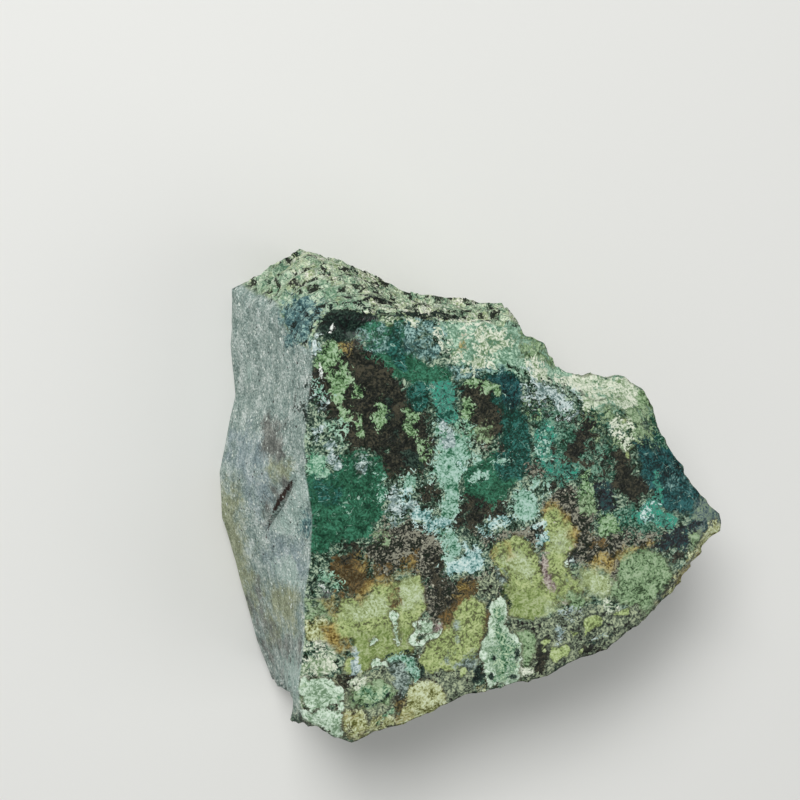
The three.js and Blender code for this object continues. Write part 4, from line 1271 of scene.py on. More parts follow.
@dataclass
class JasperSkin:
    """The stone's one skin: the broad face, the wall round it, and the sawn back.

    Attributes:
        form: the plain form it follows.
        minerals: the map whose depths are written to its vertices.
        finer: columns of the skin for each column of the solid.
        wall_rows: rows of the wall.
        row_crowding: how far the rows crowd towards the rim; 1 spaces them evenly.
        back_rings: rings of the back.
        leaf_pitch: how wide one leaf of rind is from above.
        leaf_sways: how far a leaf wanders: the noise's size across and down, and its share.
        leaf_under: how quickly the leaves follow one another below the belly.
        leaf_moves: how far one leaf's scales are moved against the next one's, sideways and down.
        riser: the share of a leaf that is its riser.
        scale_run, scale_height: how long the scales of a leaf are, and how far one stands out.
        scale_runs: how many fine scales go to a wide one.
        chip_size, chip_height, chip_level: the chips on broken edges, and where they meet the wall.
        grit_size, grit_height: the grit on broken walls.
        streak_size, streak_height: the saw's streaks on the side.
        slab_step, slab_reach: how far the slab over the crack stands out, and how high that fades.
        slab_edge: how wide the edge of the slab is.
        cleft_depth, cleft_width, cleft_end: the crack's sharp bottom, and how suddenly it ends.
        bulge_at, bulge_reach, bulge_height: the swelling at the top of the crack, by y and z.
        edge_fade: how quickly the chips die away inside the rim.
        rim_share, rim_band: the share of the fine relief left at the rim, and how high that is.
        swellings: where the rim stands out past the plain form: place, reach, push.
    """

    form: StoneForm
    minerals: MineralMap
    finer: int = 5
    wall_rows: int = 86
    row_crowding: float = 1.2
    back_rings: int = 4
    leaf_pitch: float = 0.75
    leaf_sways: tuple[Triple, Triple] = ((7.0, 14.0, 1.0), (2.4, 7.0, 0.5))
    leaf_under: float = 0.2
    leaf_moves: Pair = (13.7, 5.3)
    riser: float = 0.35
    scale_run: float = 3.4
    scale_height: float = 0.6
    scale_runs: float = 2.4
    chip_size: float = 2.3
    chip_height: float = 0.55
    chip_level: float = 0.4
    grit_size: float = 0.9
    grit_height: float = 0.22
    streak_size: Triple = (1.4, 7.0, 1.4)
    streak_height: float = 0.1
    slab_step: float = 0.45
    slab_reach: float = 5.0
    slab_edge: float = 0.25
    cleft_depth: float = 1.4
    cleft_width: float = 0.7
    cleft_end: float = 4.0
    bulge_at: Pair = (4.5, 27.5)
    bulge_reach: Pair = (3.0, 2.6)
    bulge_height: float = 0.6
    edge_fade: float = 45.0
    rim_share: float = 0.5
    rim_band: float = 1.5
    swellings: tuple[tuple[Pair, float, float], ...] = (
        ((15.4, 21.4), 2.6, 1.0), ((27.5, 17.5), 3.0, -0.5), ((33.4, 10.6), 3.0, -0.4),
        ((44.8, -7.2), 2.6, 1.0), ((40.6, -12.4), 2.4, 0.5),
    )

    @property
    def columns(self) -> int:
        """Columns in the skin's wall."""
        return self.form.columns * self.finer

    def swelling(self, x: Array, y: Array) -> Array:
        """How far the wall stands out past the plain form: bell curves round a few places.

        Args:
            x, y: where the rim is.

        Returns:
            How far the wall there stands out, in millimetres.
        """
        return sum(
            push * np.exp(-((x - at[0]) ** 2 + (y - at[1]) ** 2) / reach**2)
            for at, reach, push in self.swellings
        )

    def rind_climb(self, x: Array, y: Array, z: Array, shelf: Array) -> Array:
        """How many leaves of rind lie between the rim and each point.

        This is how far out from the rim a point is, over the width of a leaf, moved by two noises.

        Args:
            x, y, z: points of the wall, in millimetres.
            shelf: how far out from the rim they are.

        Returns:
            The climb, in leaves.
        """
        sway = sum(
            share * noise(x / wide + 9 * n, y / wide, z / high)
            for n, (wide, high, share) in enumerate(self.leaf_sways)
        )
        return shelf / self.leaf_pitch + sway

    def rind_detail(self, x: Array, y: Array, z: Array, climb: Array) -> Array:
        """How far the leaves of rind stand out: they go down in steps, and each has its own height.

        The part of the climb past a whole number says how far across its leaf a point is: first
        down the riser, where the wall does not go out at all, and then along the tread.

        Args:
            x, y, z: points of the wall, in millimetres.
            climb: their climb, in leaves.

        Returns:
            How far each point stands out, in millimetres.
        """
        leaf = np.floor(climb)
        across = climb - leaf
        sideways, down = self.leaf_moves
        wide, fine = (
            noise(x / run + sideways * leaf, y / run + shift, down * leaf)
            for run, shift in ((self.scale_run, 0), (self.scale_run / self.scale_runs, 31))
        )
        tread = clamp01((across - self.riser) / (1 - self.riser))
        return self.leaf_pitch * (tread - across) + self.scale_height * (wide + 0.5 * fine)

    def broken_detail(self, x: Array, y: Array, z: Array) -> Array:
        """Chips that meet in ridges, which are a noise folded at zero, and grit over them.

        Args:
            x, y, z: points of the wall, in millimetres.

        Returns:
            How far each stands out, in millimetres.
        """
        size, grit_size = self.chip_size, self.grit_size
        chips = 1 - 2 * np.abs(noise(x / size, y / size + 17, z / size))
        grit = fractal_noise(x / grit_size, y / grit_size, z / grit_size + 5, 2)
        return self.chip_height * (chips - self.chip_level) + self.grit_height * grit

    def sawn_detail(self, x: Array, y: Array, z: Array) -> tuple[Array, Array]:
        """The saw's streaks, the slab that stands over the crack, its bottom, and a swelling.

        The slab's edge is a hyperbolic tangent of how far over the crack a point is. The crack's
        bottom and the swelling are bell curves of the distance to them.

        Args:
            x, y, z: points of the wall, in millimetres.

        Returns:
            How far these stand out, and the crack from 0 to 1.
        """
        width, length, height = self.streak_size
        out = self.streak_height * fractal_noise(x / width, y / length, z / height, 3)
        path = list(self.form.crack)
        distance, along = path_distance(y, z, path)
        (y0, z0), (y1, z1) = path[0], path[-1]
        over = ((z - z0) * (y1 - y0) - (y - y0) * (z1 - z0)) / np.hypot(y1 - y0, z1 - z0)
        near = smooth(clamp01(1.5 - distance / self.slab_reach))
        beside = np.exp(-np.abs(over) / self.slab_reach) * near
        out = out + self.slab_step * np.tanh(-over / self.slab_edge) * beside
        open_share = smooth(clamp01((1 - along) * self.cleft_end))
        cleft = bell(distance / (self.cleft_width / 2)) * open_share
        away = ((y - self.bulge_at[0]) / self.bulge_reach[0]) ** 2
        away = away + ((z - self.bulge_at[1]) / self.bulge_reach[1]) ** 2
        out = out + self.bulge_height * np.exp(-away) - self.cleft_depth * cleft
        return out, cleft

    def divided(self, x: Array, y: Array, z: Array, walls: Array) -> tuple[Array, Array]:
        """The walls' share split between rind and saw cut, by the map.

        Args:
            x, y, z: points of the wall, in millimetres.
            walls: the share of rind and saw cut together.

        Returns:
            The share of rind and that of saw cut.
        """
        x, y, z, walls = np.broadcast_arrays(x, y, z, walls)
        points = np.stack([x, y, z], -1).reshape(-1, 3)
        rind = walls * self.minerals.rind_share(points).reshape(walls.shape)
        return rind, walls - rind

    def wall_detail(
        self, x: Array, y: Array, z: Array, rind: Array, sawn: Array, climb: Array
    ) -> tuple[Array, Array]:
        """The fine relief of the wall, by the share of each kind of surface.

        Args:
            x, y, z: points of the wall, in millimetres.
            rind, sawn: the share of each at every point, as the map divides them.
            climb: how many leaves of rind lie above them.

        Returns:
            How far it stands out, and the crack from 0 to 1.
        """
        streaks, cleft = self.sawn_detail(x, y, z)
        broken = (1 - rind - sawn) * self.broken_detail(x, y, z)
        return rind * self.rind_detail(x, y, z, climb) + sawn * streaks + broken, sawn * cleft

    def wall(self) -> Surface:
        """The wall: the plain form from rim to foot, pushed out by its large and fine relief.

        Returns:
            The surface, one row of points for each height.
        """
        form = self.form
        column = np.arange(self.columns)[None, :] / self.finer
        down = (np.arange(self.wall_rows + 1)[:, None] / self.wall_rows) ** self.row_crowding
        place = form.place(column)
        top = form.thickness - place.drop
        z = top * (1 - down)
        below = clamp01((top - z) / (top - place.belly_z)) ** place.bow
        under = clamp01((place.belly_z - z) / place.belly_z) ** 2
        tuck_x, tuck_y = form.outwards(place.belly_x, place.belly_y)
        x = mix(place.rim_x, place.belly_x, below) - tuck_x * place.tuck * under
        y = mix(place.rim_y, place.belly_y, below) - tuck_y * place.tuck * under
        out_x, out_y = form.outwards(x, y)
        plain = form.wall_relief(x, y, z, place.rind, place.sawn)
        plain = plain + self.swelling(place.rim_x, place.rim_y)
        shelf = np.hypot(x - place.rim_x, y - place.rim_y)
        shelf = shelf + self.leaf_under * np.maximum(place.belly_z - z, 0)
        climb = self.rind_climb(x, y, z, shelf)
        rind, sawn = self.divided(x, y, z, place.rind + place.sawn)
        detail, gap = self.wall_detail(x, y, z, rind, sawn, climb)
        near_foot = mix(form.foot_share, 1.0, clamp01(z / form.foot_fade))
        near_rim = mix(self.rim_share, 1.0, clamp01((top - z) / self.rim_band))
        push = plain * near_foot + detail * near_foot * near_rim
        lift = form.face_relief(x, y) * clamp01(1 - down * form.wall_rows)
        x, y, z, nothing = x + out_x * push, y + out_y * push, z + lift, np.zeros(z.shape)
        return Surface(x, y, z, rind, sawn, 1 - rind - sawn, gap, climb, nothing)

    def face(self) -> tuple[Surface, Array, Array]:
        """The broad face: a square grid whose rings run out from the hub to the rim.

        Returns:
            The surface, and the ring and the column of each point.
        """
        form = self.form
        cells_a_side = self.columns // 4
        step = np.arange(cells_a_side + 1) * 2 / cells_a_side - 1
        a, b = np.meshgrid(step, step, indexing="ij")
        ring = np.maximum(np.abs(a), np.abs(b))
        side = form.columns / 4

        def run(start: Array) -> Array:
            """How far along a side of its own ring a point is, in columns."""
            return side * (start + ring) / np.maximum(2 * ring, TINY)

        lower, right, upper = b == -ring, a == ring, b == ring
        column = np.select(
            [lower, right, upper], [run(a), side + run(b), 2 * side + run(-a)], 3 * side + run(-b)
        )
        place = form.place(column)
        x, y = mix(form.hub[0], place.rim_x, ring), mix(form.hub[1], place.rim_y, ring)
        inward = np.hypot(place.rim_x - x, place.rim_y - y)
        slope = place.drop * (1 - smooth(clamp01(inward / place.slope)))
        z = form.thickness - slope + form.face_relief(x, y)
        out_x, out_y = form.outwards(place.rim_x, place.rim_y)
        rim = (place.rim_x, place.rim_y, form.thickness - place.drop)
        plain = form.wall_relief(*rim, place.rind, place.sawn) + self.swelling(*rim[:2])
        shares = self.divided(*rim, place.rind + place.sawn)
        detail, _ = self.wall_detail(*rim, *shares, self.rind_climb(*rim, 0.0))
        push = plain * ring**form.rim_fade + self.rim_share * detail * ring**self.edge_fade
        nothing = np.zeros(z.shape)
        surface = Surface(x + out_x * push, y + out_y * push, z, *[nothing] * 6)
        return surface, ring, column

    def back(self, foot_x: Array, foot_y: Array) -> Surface:
        """The flat sawn back: rings that shrink from the foot to one point under the hub.

        Args:
            foot_x, foot_y: the foot of the wall.

        Returns:
            The rings inside the foot, from the outside in, and then the one point.
        """
        share = np.arange(self.back_rings - 1, 0, -1)[:, None] / self.back_rings
        x = mix(self.form.hub[0], foot_x, share).ravel()
        y = mix(self.form.hub[1], foot_y, share).ravel()
        x, y = np.append(x, self.form.hub[0]), np.append(y, self.form.hub[1])
        nothing, all_of_it = np.zeros(x.shape), np.ones(x.shape)
        return Surface(x, y, nothing, *[nothing] * 5, all_of_it)

    def build(self) -> bpy.types.Object:
        """Joins wall, face and back into one closed mesh, in metres, with its attributes.

        Returns:
            The finished piece, at the origin.
        """
        wall, (face, ring, column), columns = self.wall(), self.face(), self.columns
        foot = slice(self.wall_rows * columns, None)
        back = self.back(wall.x.ravel()[foot], wall.y.ravel()[foot])
        skin = Surface.joined([wall, face, back])

        wall_index = np.arange((self.wall_rows + 1) * columns).reshape(-1, columns)
        face_index = wall_index.size + np.arange(ring.size).reshape(ring.shape)
        on_rim = ring > 1 - TINY
        rim_column = np.rint(column * self.finer).astype(int) % columns
        face_index = np.where(on_rim, wall_index[0][rim_column], face_index)
        first_back = wall_index.size + ring.size
        rings = first_back + np.arange((self.back_rings - 1) * columns).reshape(-1, columns)
        pole = first_back + rings.size
        rows = np.vstack([wall_index, rings])
        nexts = np.roll(rows, -1, axis=1)
        near, far = face_index[:, :-1], face_index[:, 1:]
        quads = np.vstack([
            np.stack([rows[:-1], rows[1:], nexts[1:], nexts[:-1]], -1).reshape(-1, 4),
            np.stack([near[:-1], near[1:], far[1:], far[:-1]], -1).reshape(-1, 4),
        ])
        cap = np.stack([rows[-1], np.full(columns, pole), nexts[-1]], -1)

        used = np.zeros(skin.x.size, bool)
        used[quads] = True
        used[cap] = True
        renumbered = np.cumsum(used) - 1
        points = np.stack([skin.x, skin.y, skin.z], -1)[used]
        mesh = closed_mesh("jasper_skin", self.placed(points), renumbered[quads], renumbered[cap])
        flat = self.back_rings * columns
        self.flatten_back(mesh, wall_index.shape[0] - 1, flat)
        shares = {name: getattr(skin, name)[used] for name in SKIN_SHARES}
        depths = {mineral.key: depth for mineral, depth in self.minerals.depths(points).items()}
        for name, values in {**shares, **depths, "calm": self.minerals.calm(points)}.items():
            attribute = mesh.attributes.new(name, "FLOAT", "POINT")
            attribute.data.foreach_set("value", values.astype(np.float32))
        piece = bpy.data.objects.new("jasper_skin", mesh)
        bpy.context.scene.collection.objects.link(piece)
        return piece

    def placed(self, points: Array) -> Array:
        """Points in metres, with the origin under the middle of the stone."""
        return (points - np.array([*self.form.middle, 0.0])) * MM

    def flatten_back(self, mesh: bpy.types.Mesh, wall_rows: int, back_faces: int) -> None:
        """Shades the wall and the broad face smooth, and the sawn back flat.

        Args:
            mesh: the skin's mesh.
            wall_rows: rows of faces in the wall, which come first.
            back_faces: faces of the back, of which all but the last ring follow the wall.
        """
        smooth_faces = np.ones(len(mesh.polygons), bool)
        first = wall_rows * self.columns
        smooth_faces[first : first + back_faces - self.columns] = False
        smooth_faces[-self.columns :] = False
        mesh.polygons.foreach_set("use_smooth", smooth_faces)


def closed_mesh(name: str, points: Array, quads: Array, triangles: Array) -> bpy.types.Mesh:
    """A mesh from whole arrays of corners.

    Args:
        name: the mesh's name.
        points: its vertices, in metres.
        quads: four vertices to a row, anticlockwise from outside.
        triangles: three vertices to a row, anticlockwise from outside.

    Returns:
        The mesh.
    """
    mesh = bpy.data.meshes.new(name)
    mesh.vertices.add(len(points))
    mesh.vertices.foreach_set("co", points.astype(np.float32).ravel())
    corners = np.concatenate([quads.ravel(), triangles.ravel()])
    mesh.loops.add(len(corners))
    mesh.loops.foreach_set("vertex_index", corners.astype(np.int32))
    mesh.polygons.add(len(quads) + len(triangles))
    starts = np.concatenate([np.arange(len(quads)) * 4, quads.size + np.arange(len(triangles)) * 3])
    mesh.polygons.foreach_set("loop_start", starts.astype(np.int32))
    mesh.update(calc_edges=True)
    mesh.validate()
    return mesh


# ---- Materials ----


def srgb(code: str) -> tuple[float, float, float, float]:
    """A colour as linear light with full alpha, by the curve of the sRGB standard.

    Args:
        code: its six-figure code.

    Returns:
        Red, green, blue and alpha, from 0 to 1.
    """
    shares = [int(code[n : n + 2], 16) / 255 for n in (0, 2, 4)]
    linear = [s / 12.92 if s <= 0.04045 else ((s + 0.055) / 1.055) ** 2.4 for s in shares]
    return (*linear, 1.0)


Socket = bpy.types.NodeSocket

# Where a mix node for colours has its share, its two colours and its result.
MIX_INPUTS = (0, 6, 7)
MIX_OUTPUT = 2


class Desk:
    """Lays out shader nodes and wires them."""

    def __init__(self, tree: bpy.types.NodeTree) -> None:
        """Works in the given tree."""
        self.tree = tree

    def node(self, kind: str, **settings: object) -> bpy.types.Node:
        """A new node.

        Args:
            kind: what Blender calls this kind.
            settings: its settings by name.

        Returns:
            The node.
        """
        made = self.tree.nodes.new(kind)
        for name, value in settings.items():
            setattr(made, name, value)
        return made

    def feed(self, socket: Socket, value: object) -> None:
        """Wires another socket into this one, or sets it to a plain value.

        Args:
            socket: the input.
            value: another node's output, or a plain value.
        """
        if isinstance(value, bpy.types.NodeSocket):
            self.tree.links.new(value, socket)
        else:
            socket.default_value = value

    def math(self, operation: str, *values: object, clamp: bool = False) -> Socket:
        """A sum on one to three numbers.

        Args:
            operation: what Blender calls it.
            values: sockets or plain numbers.
            clamp: whether the result is held between 0 and 1.

        Returns:
            The result.
        """
        made = self.node("ShaderNodeMath", operation=operation, use_clamp=clamp)
        for socket, value in zip(made.inputs, values):
            self.feed(socket, value)
        return made.outputs[0]

    def weigh(
        self, *terms: tuple[Socket, float], start: float = 0.0, clamp: bool = False
    ) -> Socket:
        """A sum of sockets, each times its weight, and a start value.

        Args:
            terms: each socket and its weight.
            start: what the sum starts from.
            clamp: whether the result is held between 0 and 1.

        Returns:
            The sum.
        """
        total: object = start
        for socket, weight in terms:
            total = self.math("MULTIPLY_ADD", socket, weight, total)
        return self.math("ADD", total, 0.0, clamp=True) if clamp else total

    def mix(self, share: object, a: object, b: object) -> Socket:
        """One colour over another.

        Args:
            share: how much of b shows, from 0 to 1.
            a, b: the lower and the upper colour.

        Returns:
            The mixed colour.
        """
        made = self.node("ShaderNodeMix", data_type="RGBA")
        for index, value in zip(MIX_INPUTS, (share, a, b)):
            self.feed(made.inputs[index], value)
        return made.outputs[MIX_OUTPUT]

    def attribute(self, name: str) -> Socket:
        """The value of one of the mesh's attributes."""
        return self.node("ShaderNodeAttribute", attribute_name=name).outputs["Fac"]

    def group(self, tree: bpy.types.NodeTree, **values: object) -> bpy.types.Node:
        """A node group with its inputs set.

        Args:
            tree: the group's tree.
            values: the inputs by name, where an underscore stands for a space.

        Returns:
            The group's node.
        """
        made = self.node("ShaderNodeGroup", node_tree=tree)
        for name, value in values.items():
            self.feed(made.inputs[name.replace("_", " ")], value)
        return made


def group_tree(name: str, inputs: dict[str, str], outputs: dict[str, str]) -> bpy.types.NodeTree:
    """An empty shader node group with named sockets.

    Args:
        name: the group's name.
        inputs: each input's name and kind, "Float", "Color" or "Vector".
        outputs: each output's name and kind.

    Returns:
        The group's tree.
    """
    tree = bpy.data.node_groups.new(name, "ShaderNodeTree")
    for side, sockets in (("INPUT", inputs), ("OUTPUT", outputs)):
        for socket, kind in sockets.items():
            tree.interface.new_socket(socket, in_out=side, socket_type=f"NodeSocket{kind}")
    return tree


def signed_noise_group() -> bpy.types.NodeTree:
    """Three channels of noise, each from about -1 to 1.

    Returns:
        A group that takes a place in millimetres and the noise's size, detail, twist and gain.
    """
    names = ("Size", "Detail", "Roughness", "Distortion", "Gain")
    inputs = {"Place": "Vector", **{name: "Float" for name in names}}
    tree = group_tree("signed noise", inputs, {"A": "Float", "B": "Float", "C": "Float"})
    desk = Desk(tree)
    given, put = desk.node("NodeGroupInput"), desk.node("NodeGroupOutput")
    texture = desk.node("ShaderNodeTexNoise", noise_dimensions="3D")
    desk.feed(texture.inputs["Vector"], given.outputs["Place"])
    desk.feed(texture.inputs["Scale"], desk.math("DIVIDE", 1.0, given.outputs["Size"]))
    for name in ("Detail", "Roughness", "Distortion"):
        desk.feed(texture.inputs[name], given.outputs[name])
    channels = desk.node("ShaderNodeSeparateColor")
    desk.feed(channels.inputs[0], texture.outputs["Color"])
    for n in range(3):
        centred = desk.math("SUBTRACT", channels.outputs[n], 0.5)
        desk.feed(put.inputs[n], desk.math("MULTIPLY", centred, given.outputs["Gain"]))
    return tree


def tone_group() -> bpy.types.NodeTree:
    """A colour picked between a dark, a usual and a light tone.

    Returns:
        A group whose Grain moves the colour, by Contrast, from the usual tone towards the others.
    """
    inputs = dict.fromkeys(("Dark", "Tone", "Light"), "Color")
    inputs |= dict.fromkeys(("Grain", "Contrast"), "Float")
    tree = group_tree("mineral tone", inputs, {"Colour": "Color"})
    desk = Desk(tree)
    given, put = desk.node("NodeGroupInput").outputs, desk.node("NodeGroupOutput")
    push = desk.math("MULTIPLY", given["Grain"], given["Contrast"])
    dark = desk.mix(desk.math("MULTIPLY", push, -1.0, clamp=True), given["Tone"], given["Dark"])
    light = desk.mix(desk.math("MULTIPLY", push, 1.0, clamp=True), dark, given["Light"])
    desk.feed(put.inputs[0], light)
    return tree


def mineral_group(tone: bpy.types.NodeTree) -> bpy.types.NodeTree:
    """One mineral laid over what is under it.

    Args:
        tone: the group that picks its colour.

    Returns:
        A group that covers Under where Depth, moved by Drift and Fray, is above 0.
    """
    inputs = {
        "Under": "Color", "Depth": "Float", "Share": "Float", "Drift": "Float", "Fray": "Float",
        "Grain": "Float", "Drift Reach": "Float", "Fray Reach": "Float", "Softness": "Float",
        "Dark": "Color", "Tone": "Color", "Light": "Color", "Contrast": "Float",
    }
    tree = group_tree("mineral over", inputs, {"Colour": "Color"})
    desk = Desk(tree)
    given, put = desk.node("NodeGroupInput").outputs, desk.node("NodeGroupOutput")
    drifted = desk.math("MULTIPLY_ADD", given["Drift"], given["Drift Reach"], given["Depth"])
    frayed = desk.math("MULTIPLY_ADD", given["Fray"], given["Fray Reach"], drifted)
    edge = desk.math("ADD", desk.math("DIVIDE", frayed, given["Softness"]), 0.5, clamp=True)
    mask = desk.math("MULTIPLY", edge, given["Share"])
    tones = {name: given[name] for name in ("Dark", "Tone", "Light", "Grain", "Contrast")}
    colour = desk.group(tone, **tones).outputs[0]
    desk.feed(put.inputs[0], desk.mix(mask, given["Under"], colour))
    return tree


SIDE_GROUND = MineralFinish("627771", "98aca4", "dbe4de", 1.1)
RIND_LOW = MineralFinish("5b8066", "9bba9b", "d8e8c6", 1.1)
# The rind's pale tone: partly its own cream colour, partly painted light on the lit tops of the
# scales.
RIND_PALE_AND_LIT = MineralFinish("9eaf7e", "d3dfba", "fffff0", 1.1)
WEATHERED = MineralFinish("4f5540", "7c8468", "a5a684", 0.8)
BACK_GROUND = MineralFinish("48594d", "647768", "82937f", 0.7)
FACE_GROUND = MineralFinish("061904", "415f4e", "a6b89d", 1.1)
THREAD_COLOUR = "a9c8b6"
# Painted shade: the near-black colour put in the gaps and slits between the rind's scales and in
# the bottom of the open crack.
GAP_SHADE_COLOUR = "10150e"


@dataclass(frozen=True)
class Grain:
    """One kind of scattered grain.

    Attributes:
        colour: its colour.
        size: the size of the cells that it is scattered through, in millimetres.
        channel: which channel of a cell's colour rules it.
        level: what that channel has to pass for a grain to be there.
        spread, waver, hardness: how wide the widest grain is, and how its edge wavers and blends.
    """

    colour: str
    size: float
    channel: int
    level: float
    spread: float = 0.9
    waver: float = 0.08
    hardness: float = 8.0


BAND_PALE = Grain("b9b9a4", 0.9, 0, 0.62)
BAND_BLACK = Grain("191b18", 1.0, 1, 0.6)
# The two glint kinds are painted highlights: white dots that stand in for glints of light.
FACE_GLINT = Grain("dfe8df", 0.7, 2, 0.78)
SIDE_GLINT = Grain("dfe8df", 0.8, 0, 0.5)
SIDE_BLACK = Grain("191b18", 1.0, 1, 0.62)


@dataclass(frozen=True)
class Noise:
    """One kind of noise: its size in millimetres, and its detail, roughness, twist and gain."""

    size: float
    detail: float
    roughness: float
    twist: float
    gain: float


DRIFT = Noise(6.0, 3.0, 0.6, 0.0, 7.0)
FRAY = Noise(1.5, 4.0, 0.68, 0.6, 9.0)
FIBRE = Noise(0.95, 1.0, 0.5, 2.5, 6.0)
DUST = Noise(0.36, 0.0, 0.5, 0.0, 4.5)
THREAD = Noise(2.2, 1.0, 0.4, 1.2, 6.0)
SIDE_GRAIN = Noise(2.4, 5.0, 0.96, 0.3, 7.5)
SCALE = Noise(2.2, 2.0, 0.5, 0.3, 7.0)


@dataclass(frozen=True)
class JasperLook:
    """The numbers of the stone's material.

    Attributes:
        edge: what fray and fibre count for in the edges of the minerals.
        mottle: what fray, fibre, dust and drift count for in their grain.
        side_grain: what the side's own noise and dust count for in its grain.
        side_stretch: how the side's noise is squeezed in each direction.
        edge_calm, mottle_calm: how strong the edge and the mottle are outside the calm masses, and
            what is added to that inside them.
        rim_share, rim_softness: how much a mineral's rim covers, and how soft it is.
        thread_line: how sharp a thread is; its middle is where a noise passes through zero.
        thread_gaps: what fray and drift count for in breaking the threads, and where they start.
        band: how quickly the grains of the speckled band set in, and how many are at its edge.
        leaf_waver: how far fray and fibre move the edge of a leaf, in leaves.
        leaf_moves: how far one leaf's noise lies from the next one's in each direction.
        leaf_line: where across a leaf its gap is, how sharp it is, what breaks it, and its start.
        leaf_slit: how sharp the slits between scales are, and their start.
        leaf_shade_strength: how dark gaps and slits are.
        leaf_tone_and_light: what a scale's own tone, its slits, its tread and drift count for, and the start.
        bloom: what drift, fray and height count for in the crust of broken walls, and the start.
        roughness, ruggedness: what walls, broken and back count for in them, and the start.
        fine_roughness: what fray and dust add to the roughness.
        relief: what fibre, dust and fray count for in the finest relief.
        relief_strength, relief_height: how strong and, in metres, how high the finest relief is.
        specular: how strong the reflections are.
    """

    edge: Pair = (0.7, 0.55)
    mottle: Row = (0.5, 0.6, 0.35, 0.2)
    side_grain: Pair = (0.85, 0.35)
    side_stretch: Triple = (1.0, 0.75, 0.9)
    edge_calm: Pair = (1.0, -0.5)
    mottle_calm: Pair = (1.3, -0.15)
    rim_share: float = 0.75
    rim_softness: float = 0.5
    thread_line: float = -14.0
    thread_gaps: Triple = (1.6, 0.6, -0.35)
    band: Pair = (0.8, 0.5)
    leaf_waver: Pair = (0.16, 0.1)
    leaf_moves: Triple = (41.0, 23.0, 17.0)
    leaf_line: Row = (0.16, -8.0, 1.1, 1.5)
    leaf_slit: Pair = (-7.0, 0.8)
    # Painted shade: how dark the colour painted into the gaps and slits between scales is.
    leaf_shade_strength: float = 0.95
    # Partly painted light: the share of how far across its leaf a point is makes each scale lighter
    # away from its gap.
    leaf_tone_and_light: Row = (0.5, 0.15, 0.45, 0.2, 0.15)
    bloom: Row = (0.3, 0.3, -0.024, 0.85)
    roughness: Row = (0.28, 0.25, 0.25, 0.38)
    fine_roughness: Pair = (0.05, 0.05)
    ruggedness: Row = (0.9, 1.2, 0.5, 0.12)
    relief: Triple = (0.5, 0.3, 0.5)
    relief_strength: float = 0.6
    relief_height: float = 0.0003
    specular: float = 0.25


